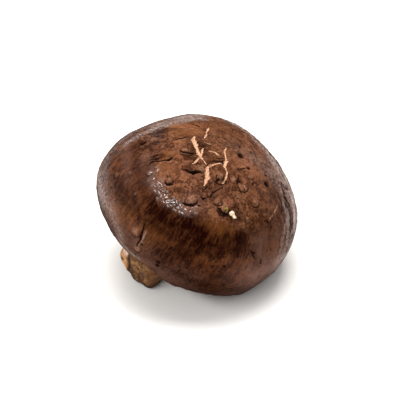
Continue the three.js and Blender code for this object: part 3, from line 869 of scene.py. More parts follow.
    def split(self, points: Array, torn: Array, heights: Array, masks: dict[str, Array]) -> None:
        """Cuts the tears and the pits into the heights and adds them to three masks: flesh, painted shade and
        a painted highlight.

        A tear is a flat-bottomed groove exp(-d^4) with a lip on its lower side; each of the pits is a bell.

        Args:
            points: Points of the swollen outline.
            torn: The same points, pushed to make the marks ragged.
            heights: The height in mm, changed in place.
            masks: The masks by name, changed in place.
        """
        g, flesh, pit_shade, lit = self.grain, masks["flesh"], masks["pit_shade"], masks["lit"]
        fray = 1 + g.fray * smooth_noise(points, 0.4, 63) + 0.3 * smooth_noise(points, 0.9, 64)
        for tear in self.tears:
            way, along = path_way(torn, self.form.chain(tear.path))
            share = np.interp(along, np.linspace(0, 1, len(tear.widths)), tear.widths) * fray
            d = lengths(way) / (tear.half * share)
            low = self.drooping(way, -0.5, 0.7)
            lip = bell(d, g.lip_away, g.lip_half) * np.minimum(share, 1) * (0.35 + 0.65 * low)
            heights += tear.lip * lip - tear.depth * share * bell(d, 0, 1, 4)
            np.maximum(flesh, tear.flesh * bell(d, 0, 1.1, 6), out=flesh)
            # A flesh tear gets painted shade along its edges; a skin tear gets painted shade in its bottom
            # and a painted highlight on its lip.
            if tear.flesh:
                np.maximum(pit_shade, 0.6 * bell(d, 1.5, 0.35) * (1 - 0.6 * low), out=pit_shade)
            else:
                np.maximum(pit_shade, tear.shade * bell(d, 0, 1.3 - 0.35 * low, 4), out=pit_shade)
                np.maximum(lit, lip * 0.9, out=lit)
        # Each pit's hole is darkened as painted shade.
        for p in self.pits:
            hole = bell(lengths(torn - self.form.spot(p.azimuth, p.slope)), 0, p.radius, 3)
            heights -= p.height * hole
            np.maximum(pit_shade, hole, out=pit_shade)
        pit_shade *= 1 - flesh

    def relief(self, points: Array, slope: Array, fibre: Array,
               creased: Array) -> tuple[Array, dict[str, Array]]:
        """Height of the skin over the swollen outline, and the masks that the finish reads.

        Warts and scales are knobs, the scales in some cells of a cellular noise; flecks are bells in cells
        drawn out along the flank; the shoulder carries a band of sugary grain.

        Args:
            points: Points of the swollen outline.
            slope: Their slopes.
            fibre: Their places in the streaks' frame.
            creased: How creased the skin is at each, from 0 to 1.

        Returns:
            The height in mm, and the masks by name.
        """
        g = self.grain
        crown = smoothstep(72, 54, slope)
        flank = smoothstep(50, 68, slope)
        warp = drift(points, g.warp, 31) * g.ragged
        torn = points + warp
        out, papilla, crease = self.grained(points, warp, crown, creased)
        streak = drawn_noise(fibre, g.streaks, 41)
        out += g.fibre_out * flank * streak
        uneven = 1 + 0.12 * smooth_noise(points, 0.9, 67)
        # The finish paints shade in the knobs' grooves and a highlight on their tops.
        shade = np.zeros(slope.shape)
        lit = np.zeros(slope.shape)
        for w in self.warts:
            way = torn - warp * 0.6 - self.form.spot(w.azimuth, w.slope)
            dome, groove, shadow = self.knob(way, w.radius * uneven)
            out = out * (1 - 0.6 * dome) + w.height * (dome - 0.5 * groove)
            shade = np.maximum(shade, shadow * min(1, w.height / 0.35))
            lit = np.maximum(lit, dome)
        _, number, way = cells(points + warp * 0.5, g.scale, 57)
        present = smoothstep(0.42, 0.36, number) * crown
        present *= smoothstep(-0.5, 0.1, smooth_noise(points, 6.0, 58))
        ragged = uneven + 0.3 * smooth_noise(points, 0.7, 71)
        dome, groove, shadow = self.knob(way * g.scale, g.scale_radius * (0.6 + number) * ragged)
        out += g.scale_out * present * (dome - 0.5 * groove)
        shade = np.maximum(shade, 0.65 * shadow * present)
        _, number, way = cells(fibre * (0.9, 0.9, 0.45) + warp * 0.7, g.fleck, 77)
        fleck = bell(lengths(way), 0, g.fleck_radius) * smoothstep(0.45, 0.3, number) * (0.3 + 0.7 * flank)
        out -= g.fleck_depth * fleck
        sugar = bell(lengths(path_way(points, self.form.chain(self.shoulder))[0]), 0, g.sugar_half)
        out += (g.dust_out * smooth_noise(points, g.dust, 69)
                + g.sugar_out * sugar * smooth_noise(points, g.sugar, 70))
        # Creases, the grooves under the knobs and the flecks are darkened in the finish as painted shade.
        pit_shade = np.maximum.reduce([crease * 0.9, shade * 0.95, fleck * 0.9])
        masks = {"flesh": np.zeros(slope.shape), "pit_shade": pit_shade, "lit": lit, "papilla": papilla}
        self.split(points, torn, out, masks)
        return out, masks

    def hollow(self, last: Array, azimuth: Array) -> Array:
        """Rings of the rolled lip, the hollow's wall and its roof, from the margin inwards.

        The lip turns a quarter of an ellipse inwards and up from the margin; the wall and roof are rings of
        revolution, the roof falling with the square of the radius.

        Args:
            last: The margin's ring of points.
            azimuth: Its azimuths, in degrees.

        Returns:
            Rows of rings.
        """
        f, a = self.form, np.radians(azimuth)
        rings = []
        for i in range(1, self.lip_rings + 1):
            turn = np.pi / 2 * i / self.lip_rings
            keep = 1 - f.lip_fade * i / self.lip_rings
            level = -f.margin_drop + (last[:, 2] + f.margin_drop) * keep + f.lip_up * (1 - np.cos(turn))
            rings.append((np.full(a.shape, f.margin_radius - f.lip_in * np.sin(turn)), level))
        rings += [(np.full(a.shape, r), np.full(a.shape, z)) for r, z in f.wall]
        for share in np.linspace(1, f.roof_hole, self.roof_rings):
            r = f.roof_radius * share
            rings.append((np.full(a.shape, r), np.full(a.shape, f.roof(r))))
        return np.stack([np.stack([r * np.cos(a), r * np.sin(a), z], -1) for r, z in rings])

    def build(self, seat: Seat) -> Piece:
        """Makes the cap's mesh and its attributes.

        Args:
            seat: How the mushroom lies.

        Returns:
            The piece.
        """
        slope, azimuth = self.grid()
        swollen, base, normals = self.form.skin(slope, azimuth)
        a = np.radians(azimuth)
        reach = self.form.radius
        wander = a + self.wander * fractal(swollen, 6.0, 3, 51)
        fibre = np.stack([reach * np.cos(wander), reach * np.sin(wander), slope * self.fibre_step], -1)
        creased = np.maximum(self.least_creased, self.patches(base, normals, self.creased))
        out, masks = self.relief(swollen, slope, fibre, creased)
        quiet = smoothstep(180, 150, slope)
        outer = swollen + normals * (out * quiet)[..., None]
        inner = self.hollow(outer[-1], azimuth[0])
        rows = len(inner)

        def whole(value: Array, fill: float = 0.0) -> Array:
            """Adds the hollow's rows, all of one value, to the outer skin's."""
            tail = np.full((rows, *value.shape[1:]), fill)
            return with_poles(np.concatenate([value, tail]))

        vertices, faces = closed_tube(np.concatenate([outer, inner]))
        values = {name: whole(mask) for name, mask in masks.items()}
        for name in TONES:
            values[name] = whole(self.patches(base, normals, getattr(self, name)))
        values["flank"] = whole(smoothstep(50, 66, slope), 1.0)
        values["low"] = whole(smoothstep(78, 106, slope), 1.0)
        values["fibre"] = whole(fibre) * MM
        return Skin("mushroom_cap", seat.place(vertices), faces, values).build()


@dataclass
class Gills:
    """The flesh plate in the cap's hollow and the thin wavy blades that hang from it in three tiers."""

    form: CapForm = field(default_factory=CapForm)
    outer: float = 22.3
    gap: float = 0.3
    plate: float = 1.1
    hole: float = 7.0
    tiers: tuple[tuple[int, int, float], ...] = ((90, 0, 7.6), (90, 1, 11.8), (180, 1, 16.4))
    root_half: float = 0.2
    edge_half: float = 0.07
    wave: float = 0.32
    edge: Path = ((5, -5.0), (7, -5.4), (13, -7.1), (17.6, -6.6), (20.7, -4.8), (22, -3.4))
    loop_depths: tuple[float, ...] = (0, 0.35, 0.75, 1, 1, 0.75, 0.35, 0)
    loop_sides: tuple[int, ...] = (1, 1, 1, 1, -1, -1, -1, -1)
    start_spread: float = 0.9
    rim_gap: float = 0.3
    nick: float = 0.18
    flutter: float = 0.12
    twist: float = 0.35
    plate_radii: tuple[float, ...] = (11, 16, 20)
    stations: int = 14
    plate_sides: int = 120

    def blades(self, count: int, order: int, start: float, seed: int) -> tuple[Array, Array]:
        """Closed blades of one tier, each a loop of eight points carried outwards from its start to the rim.

        A blade hangs from just inside the plate to the edge line, thinner towards its edge, and waves
        sideways by a noise of its radius and number, the more the deeper it hangs.

        Args:
            count: Number of blades.
            order: 0 where the tier starts at azimuth 0, 1 where it starts half a step on.
            start: Radius at which the blades start, in mm.
            seed: Number of the noise.

        Returns:
            Vertices in the standing frame, and faces.
        """
        number = np.arange(count)[:, None, None]
        t = np.linspace(0, 1, self.stations)[None, :, None]
        depth, side = np.array(self.loop_depths)[None, None, :], np.array(self.loop_sides)[None, None, :]
        chance = hashed(np.stack([number, number * 0 + 3, number * 0], -1), seed)
        begin = start + self.start_spread * (chance - 0.5)
        r = begin + (self.outer - self.rim_gap - begin) * t
        top = self.form.roof(r) - self.gap - self.plate * 0.6
        low = np.interp(r, *zip(*self.edge))
        shrink = np.minimum(1, 0.35 + 4 * t) * np.where(start > 8, np.minimum(1, 0.25 + 2.2 * t), 1)
        place = np.stack(np.broadcast_arrays(r * 0.5, number * 7.3, number * 0.0), -1)
        nick = self.nick * smooth_noise(place * (2.2, 1, 1), 1, seed + 1)
        z = top + (low + nick - top) * shrink * depth
        turn = (number + 0.5 * order) / count * 2 * np.pi + self.twist * np.pi / count
        half = self.root_half + (self.edge_half - self.root_half) * depth
        sway = self.wave * smooth_noise(place, 1, seed + 2) * depth
        sway = sway + self.flutter * smooth_noise(place * (3, 1, 1), 1, seed + 3) * depth
        across = sway + side * half
        x = r * np.cos(turn) - across * np.sin(turn)
        y = r * np.sin(turn) + across * np.cos(turn)
        loops = np.stack(np.broadcast_arrays(x, y, z), -1)
        first, faces = closed_tube(loops[0])
        ends = np.stack([loops[:, 0].mean(1), loops[:, -1].mean(1)], 1)
        vertices = np.concatenate([loops.reshape(count, -1, 3), ends], 1)
        shift = (np.arange(count) * len(first))[:, None, None]
        faces = np.where(faces[None] >= 0, faces[None] + shift, -1)
        return vertices.reshape(-1, 3), faces.reshape(-1, 4)

    def plate_rings(self) -> tuple[Array, Array]:
        """The flesh plate: a loop of radii and levels under the roof, turned once round the stem.

        Returns:
            Vertices in the standing frame, and quads.
        """
        radii = np.array([self.hole, *self.plate_radii, self.outer])
        top = self.form.roof(radii) - self.gap
        r = np.concatenate([radii, radii[::-1]])
        z = np.concatenate([top, (top - self.plate)[::-1]])
        a = np.arange(self.plate_sides) / self.plate_sides * 2 * np.pi
        rings = np.stack([r[:, None] * np.cos(a), r[:, None] * np.sin(a), z[:, None] + 0 * a], -1)
        loop = np.concatenate([rings, rings[:1]])
        faces = wrapped_faces(len(loop), self.plate_sides)
        return rings.reshape(-1, 3), faces % (len(rings) * self.plate_sides)

    def build(self, seat: Seat) -> Piece:
        """Makes plate and blades as one piece, with a mask that tells how near the blades' edges a point is.

        Args:
            seat: How the mushroom lies.

        Returns:
            The piece.
        """
        parts = [self.plate_rings()]
        parts += [self.blades(*tier, seed=70 + 10 * k) for k, tier in enumerate(self.tiers)]
        vertices, faces, total = [], [], 0
        for points, corners in parts:
            vertices.append(points)
            faces.append(np.where(corners >= 0, corners + total, -1))
            total += len(points)
        points = np.vstack(vertices)
        r = np.hypot(points[:, 0], points[:, 1])
        top = self.form.roof(r) - self.gap
        depth = (top - points[:, 2]) / (top - np.interp(r, *zip(*self.edge)))
        values = {"edge": np.clip(depth, 0, 1)}
        return Skin("mushroom_gills", seat.place(points), np.vstack(faces), values).build()


@dataclass
class Stem:
    """The bent, knobbly stem: rings carried along a quadratic curve, with a rounded rim and a lumpy cut end.

    A pale strip of flesh, parted from the rest by a groove, shows at one side of the cut end. The blemish
    is a dark dent on it, given by its ring of the rim and its angle. A knob wave is its height, its turns
    round the stem and along it, and its start. The strand is the radius of the fibres' coordinates and their
    lengths at the neck and at the tip.
    """

    top: Triple = (0, 0, 0.35)
    bend: Triple = (0, 0, -9.5)
    foot: Triple = (-8.25, -9.1, -16.2)
    top_radius: float = 6.9
    waist_radius: float = 6.1
    base_radius: float = 7.0
    rim: float = 2.9
    dish: float = 0.25
    strip_angle: float = 290.0
    strip_reach: float = 0.38
    blemish: tuple[int, float] = (12, 295.0)
    blemish_radius: float = 0.8
    waves: tuple[tuple[float, ...], ...] = ((0.34, 3, 5, 0.6), (0.26, 5, -11, 0), (0.2, 8, 17, 1.3))
    strand: Triple = (6.5, 22, 30)
    streaks: tuple[Triple, Triple] = ((1.7, 1.7, 0.28), (4.2, 4.2, 0.6))
    sides: int = 220
    rings: int = 110
    rim_rings: int = 14
    dish_rings: int = 26

    def axis(self, along: Array) -> tuple[Array, Array, Array, Array]:
        """The quadratic curve (1 - t)^2 top + 2t(1 - t) bend + t^2 foot, with its tangents and normals.

        Args:
            along: Places on the curve, from 0 to 1.

        Returns:
            Points, tangents and the two directions across.
        """
        start, bend, foot = (np.array(p, float) for p in (self.top, self.bend, self.foot))
        t = along[:, None]
        middle = (1 - t) ** 2 * start + 2 * t * (1 - t) * bend + t**2 * foot
        tangent = (1 - t) * (bend - start) + t * (foot - bend)
        tangent /= np.linalg.norm(tangent, axis=1)[:, None]
        across = np.cross((0, 1, 0), tangent)
        across /= np.linalg.norm(across, axis=1)[:, None]
        return middle, tangent, across, np.cross(across, tangent)

    def profile(self, along: Array, a: Array) -> tuple[Array, Array]:
        """How far each point stands from the curve, and how far each ring is carried past its place on it.

        The radius runs from the top's to the waist's and out to the base's, and knobs are three sines of the
        angle and the place along. The rim is a quarter of a circle; the cut end's rings shrink inside it.

        Args:
            along: Places of the rings on the curve, from 0 to 1.
            a: Angles of the points of a ring.

        Returns:
            The reach of each point and the step forward of each ring, in mm.
        """
        t = along[:, None]
        turn = np.linspace(0, np.pi / 2, self.rim_rings + 1)[1:]
        upper, end = np.zeros(self.rings), np.zeros(self.dish_rings)
        inset = np.concatenate([upper, self.rim * (1 - np.cos(turn)), end])
        forward = np.concatenate([upper, self.rim * np.sin(turn), end])
        radius = self.top_radius + (self.waist_radius - self.top_radius) * smoothstep(0, 0.45, along)
        radius = radius + (self.base_radius - self.waist_radius) * smoothstep(0.5, 0.9, along)
        bumpy = 0.12 + 0.88 * smoothstep(0.3, 0.95, along)
        waves = sum(out * np.sin(around * a + down * t + start) for out, around, down, start in self.waves)
        reach = radius[:, None] + bumpy[:, None] * waves - inset[:, None]
        last = self.rings + self.rim_rings
        share = np.linspace(1, 0.04, self.dish_rings + 1)[1:, None]
        reach[last:] = reach[last - 1] * share
        forward[last:] = self.rim - self.dish * smoothstep(1, 0.4, share[:, 0])
        return reach, forward

    def strands(self, a: Array) -> tuple[Array, Array]:
        """The fibres' own coordinates, and a noise drawn out along them.

        Args:
            a: Angles of the points of a ring.

        Returns:
            A place on a straight tube for each point, and the noise there.
        """
        thick, neck, tip = self.strand
        length = np.concatenate([np.linspace(0, neck, self.rings),
                                 np.linspace(neck, tip, self.rim_rings + self.dish_rings)])[:, None]
        strand = np.stack(np.broadcast_arrays(thick * np.cos(a), thick * np.sin(a), length), -1)
        return strand, drawn_noise(strand, self.streaks, 83)

    def cut_marks(self, points: Array, bearing: Array, along: Array, cut: Array) -> tuple[Array, ...]:
        """Masks of what shows on the cut end.

        Args:
            points: Points of the stem.
            bearing: How far each lies towards the strip, as a share of the base's radius.
            along: Places of the rings on the curve.
            cut: How much each ring belongs to the cut end.

        Returns:
            The strip, the groove beside it, the hollows and the blemish's dent.
        """
        bearing = bearing + 0.07 * smooth_noise(points, 1.6, 97)
        strip = smoothstep(self.strip_reach, self.strip_reach + 0.08, bearing)
        strip = strip * smoothstep(0.9, 1.0, along)[:, None]
        groove = bell(bearing, self.strip_reach - 0.03, 0.06) * cut
        groove = groove * smoothstep(-0.4, 0.1, smooth_noise(points, 1.4, 99))
        hollow = smoothstep(0.02, 0.3, fractal(points, 1.9, 3, 98)) * (1 - 0.8 * strip)
        ring, angle = self.blemish
        mark = points[self.rings + ring, int(angle / 360 * self.sides)]
        dent = bell(lengths(points - mark), 0, self.blemish_radius, 3)
        return strip, groove, hollow, dent

    def build(self, seat: Seat) -> Piece:
        """Makes the stem's mesh and its attributes.

        Args:
            seat: How the mushroom lies.

        Returns:
            The piece.
        """
        a = np.arange(self.sides) / self.sides * 2 * np.pi
        along = np.concatenate([np.linspace(0, 1, self.rings), np.ones(self.rim_rings + self.dish_rings)])
        middle, tangent, across, side = (part[:, None, :] for part in self.axis(along))
        reach, forward = self.profile(along, a)
        strand, streak = self.strands(a)
        outward = across * np.cos(a)[None, :, None] + side * np.sin(a)[None, :, None]
        points = middle + outward * reach[..., None]
        points = points + tangent * forward[:, None, None]
        body = np.concatenate([np.ones(self.rings + self.rim_rings), np.zeros(self.dish_rings)])[:, None]
        lump = fractal(points, 2.4, 3, 91)
        buried = smoothstep(0.0, 0.12, along)[:, None]
        points = points + outward * ((0.2 * lump + 0.12 * streak) * body * buried)[..., None]

        cut = np.concatenate([np.zeros(self.rings), np.linspace(0, 1, self.rim_rings),
                              np.ones(self.dish_rings)])[:, None]
        bearing = np.cos(a - np.radians(self.strip_angle))[None] * reach / self.base_radius
        strip, groove, hollow, dent = self.cut_marks(points, bearing, along, cut)
        lumpy = 0.32 * fractal(points, 1.9, 3, 95) - 0.25 * hollow - 0.5 * groove + 0.15 * strip - 0.3 * dent
        points = points + tangent * (lumpy * cut)[..., None]
        # Painted shade in the lows of the lumps and streaks, the groove by the strip and the cut end's
        # hollows, with the blemish's dark dent.
        crevice_shade_and_blemish = smoothstep(0.1, -0.6, lump) * smoothstep(0.1, -0.5, streak) * body
        crevice_shade_and_blemish = np.maximum.reduce([crevice_shade_and_blemish, groove, 0.6 * hollow * cut * (1 - strip), dent])
        vertices, faces = closed_tube(points)
        level = seat.place(points)[..., 2] / MM
        values = {"cut": cut + 0 * reach, "crevice_shade_and_blemish": crevice_shade_and_blemish, "strip": strip, "fibre": strand * MM,
                  # The strip pales with height above the ground.
                  "higher_pale": smoothstep(8.8, 10.6, level + 0.6 * lump),
                  # Painted shade where the stem nears the ground.
                  "ground_shade": smoothstep(4.6, 0.8, level + 0.9 * lump)}
        flat = {name: with_poles(value) for name, value in values.items()}
        return Skin("mushroom_stem", seat.place(vertices), faces, flat).build()


@dataclass
class Chip:
    """A curled chip of pale flesh, two lobes with a waist between them, lying on the torn wart."""

    azimuth: float = 277.6
    slope: float = 49.6
    lift: float = 0.28
    length: float = 1.1
    width: float = 0.6
    height: float = 0.45
    turn: float = -42.0
    squareness: float = 0.7
    curl: float = 0.12
    rows: int = 30
    columns: int = 40

    def build(self, form: CapForm, seat: Seat) -> Piece:
        """Makes the chip: a ball with squared sides, drawn in by a bell at its waist and pushed by noise.

        Args:
            form: The outline that it stands on.
            seat: How the mushroom lies.

        Returns:
            The piece.
        """
        _, normal, down = form.base(self.slope, self.azimuth)
        heart = form.spot(self.azimuth, self.slope) + normal * self.lift
        level = np.cross(down, normal)
        turn = np.radians(self.turn)
        long = level * np.cos(turn) + down * np.sin(turn)
        short = np.cross(normal, long)
        v = np.linspace(0, np.pi, self.rows + 2)[1:-1, None]
        u = np.arange(self.columns)[None] / self.columns * 2 * np.pi

        def squared(value: Array) -> Array:
            """Sine or cosine raised to the squareness with its sign kept."""
            return np.sign(value) * np.abs(value) ** self.squareness

        ball = np.stack([squared(np.cos(v)) + 0 * u, squared(np.sin(v)) * squared(np.cos(u)),
                         squared(np.sin(v)) * squared(np.sin(u))], -1)
        ball = ball * (1 + 0.3 * fractal(ball, 0.8, 3, 5))[..., None]
        waist = 1 - 0.4 * bell(ball[..., 0], -0.25, 0.22) + 0.25 * ball[..., 0]
        x = ball[..., 0] * self.length
        y = ball[..., 1] * self.width * waist
        z = ball[..., 2] * self.height * waist + self.curl * x * x
        points = heart + x[..., None] * long + y[..., None] * short + z[..., None] * normal
        vertices, faces = closed_tube(points)
        return Skin("flesh_chip", seat.place(vertices), faces).build()


class Tree:
    """Writes nodes into a material's or a group's tree."""

    def __init__(self, tree: NodeTree) -> None:
        """Keeps the tree that the nodes go into."""
        self.tree = tree

    def feed(self, node: Node, inputs: dict) -> None:
        """Sets a node's inputs.

        Args:
            node: The node.
            inputs: Socket name or number to a constant or to the output that feeds it.
        """
        for key, value in inputs.items():
            socket = node.inputs[key]
            if isinstance(value, Socket):
                self.tree.links.new(value, socket)
            else:
                socket.default_value = value

    def put(self, kind: str, inputs: dict | None = None, **settings: object) -> Node:
        """Adds a node.

        Args:
            kind: Its type.
            inputs: Socket name or number to a constant or to the output that feeds it.
            **settings: Properties of the node.

        Returns:
            The node.
        """
        node = self.tree.nodes.new(kind)
        for name, value in settings.items():
            setattr(node, name, value)
        self.feed(node, inputs or {})
        return node

    def attribute(self, name: str, vector: bool = False) -> Socket:
        """A piece's own attribute, as a number or as a vector."""
        node = self.put("ShaderNodeAttribute", attribute_type="GEOMETRY", attribute_name=name)
        return node.outputs["Vector" if vector else "Fac"]

    def texture(self, vector: Socket, scale: object, **inputs: float) -> Socket:
        """A Noise Texture's value from 0 to 1."""
        return self.put("ShaderNodeTexNoise", {"Vector": vector, "Scale": scale, **inputs}).outputs[0]

    def noise(self, vector: Socket, size: float, detail: float = 3.0,
              rough: float = 0.55) -> Socket:
        """Noise from 0 to 1 whose lumps are size millimetres wide."""
        return self.texture(vector, 1 / (size * MM), Detail=detail, Roughness=rough)

    def maths(self, operation: str, *values: object) -> Socket:
        """One Math node on numbers or outputs."""
        return self.put("ShaderNodeMath", dict(enumerate(values)), operation=operation).outputs[0]

    def times(self, first: object, second: object) -> Socket:
        """Product of two numbers or outputs."""
        return self.maths("MULTIPLY", first, second)

    def total(self, *terms: tuple[object, float]) -> Socket:
        """Sum of outputs, each times its own factor."""
        parts = [value if factor == 1 else self.times(value, factor) for value, factor in terms]
        out = parts[0]
        for part in parts[1:]:
            out = self.maths("ADD", out, part)
        return out

    def span(self, value: object, low: object, high: object, start: float = 0.0,
             end: float = 1.0) -> Socket:
        """Maps low..high smoothly to start..end and holds it there."""
        inputs = {"Value": value, 1: low, 2: high, 3: start, 4: end}
        return self.put("ShaderNodeMapRange", inputs, interpolation_type="SMOOTHSTEP").outputs[0]

    def ease(self, value: object, start: float, end: float) -> Socket:
        """Maps 0..1 smoothly to start..end."""
        return self.span(value, 0.0, 1.0, start, end)

    def mix(self, factor: object, first: object, second: object) -> Socket:
        """Blends two colours."""
        inputs = {0: factor, 6: first, 7: second}
        return self.put("ShaderNodeMix", inputs, data_type="RGBA").outputs[2]

    def layer(self, under: object, name: str, strength: object, over: object) -> Socket:
        """Lays a colour over another where an attribute says, times a strength."""
        return self.mix(self.times(self.attribute(name), strength), under, over)

    def bump(self, height: object, strength: float, distance: float, **inputs: object) -> Socket:
        """A bumped normal: heights from 0 to 1 stand for up to the distance in mm."""
        values = {"Height": height, "Strength": strength, "Distance": distance * MM, **inputs}
        return self.put("ShaderNodeBump", values).outputs[0]


def rgb(red: float, green: float, blue: float) -> Colour:
    """An opaque linear colour."""
    return red, green, blue, 1.0


@dataclass(frozen=True)
class Group:
    """A shared node group that takes a vector and numbers and gives one mask.

    Args:
        graph: Its node tree.
    """

    graph: NodeTree

    @staticmethod
    def start(name: str, numbers: dict[str, float]) -> tuple["Group", Tree, dict[str, Socket]]:
        """Makes a group with its sockets and without its nodes.

        Args:
            name: Name of the group.
            numbers: Input names and their usual values.

        Returns:
            The group, the writer of its nodes, and its inputs by name.
        """
        graph = bpy.data.node_groups.new(name, "ShaderNodeTree")
        graph.interface.new_socket("Vector", in_out="INPUT", socket_type="NodeSocketVector")
        for key, value in numbers.items():
            socket = graph.interface.new_socket(key, in_out="INPUT", socket_type="NodeSocketFloat")
            socket.default_value = value
        graph.interface.new_socket("Mask", in_out="OUTPUT", socket_type="NodeSocketFloat")
        source = graph.nodes.new("NodeGroupInput")
        return Group(graph), Tree(graph), {s.name: s for s in source.outputs if s.name}

    def close(self, mask: Socket) -> "Group":
        """Hands the mask out of the group."""
        sink = self.graph.nodes.new("NodeGroupOutput")
        self.graph.links.new(mask, sink.inputs["Mask"])
        return self

    def use(self, t: Tree, vector: object, **numbers: float) -> Socket:
        """Places the group in a material with its own values, and gives its mask."""
        node = t.put("ShaderNodeGroup", node_tree=self.graph)
        t.feed(node, {"Vector": vector, **numbers})
        return node.outputs[0]


@dataclass(frozen=True)
class GroupShelf:
    """The node groups that several finishes share."""

    mottle: Group
    streaks: Group
    speckle: Group

    @staticmethod
    def stock() -> "GroupShelf":
        """Makes the three groups.

        Returns:
            The shelf: mottle gives soft blotches with a chosen size and hardness, streaks gives fibres drawn
            out along the third axis, and speckle gives fine grains.
        """
        mottle, t, get = Group.start("blotches", {"Size": 3.0, "Edge": 0.15})
        scale = t.maths("DIVIDE", 1 / MM, get["Size"])
        lumps = t.texture(get["Vector"], scale, Detail=5.0, Roughness=0.62, Distortion=0.4)
        low, high = t.maths("SUBTRACT", 0.5, get["Edge"]), t.maths("ADD", 0.5, get["Edge"])
        mottle.close(t.span(lumps, low, high))

        streaks, t, get = Group.start("fibres", {"Width": 0.5, "Length": 5.0})
        around, down = t.maths("DIVIDE", 1 / MM, get["Width"]), t.maths("DIVIDE", 1 / MM, get["Length"])
        ratio = t.put("ShaderNodeCombineXYZ", {"X": around, "Y": around, "Z": down}).outputs[0]
        place = t.put("ShaderNodeVectorMath", {0: get["Vector"], 1: ratio}, operation="MULTIPLY").outputs[0]
        streaks.close(t.span(t.texture(place, 1.0, Detail=3.0, Roughness=0.6), 0.36, 0.64))

        speckle, t, get = Group.start("grains", {"Size": 0.4})
        scale = t.maths("DIVIDE", 1 / MM, get["Size"])
        speckle.close(t.span(t.texture(get["Vector"], scale, Detail=3.0, Roughness=0.7), 0.3, 0.7))
        return GroupShelf(mottle, streaks, speckle)


def fresh_material(name: str) -> tuple[Material, Tree, Node, Socket]:
    """A node material with a Principled shader.

    Args:
        name: Name of the material.

    Returns:
        The material, its tree, its shader and its Object coordinates.
    """
    material = bpy.data.materials.new(name)
    material.use_nodes = True
    tree = Tree(material.node_tree)
    shader = material.node_tree.nodes["Principled BSDF"]
    place = tree.put("ShaderNodeTexCoord").outputs["Object"]
    return material, tree, shader, place


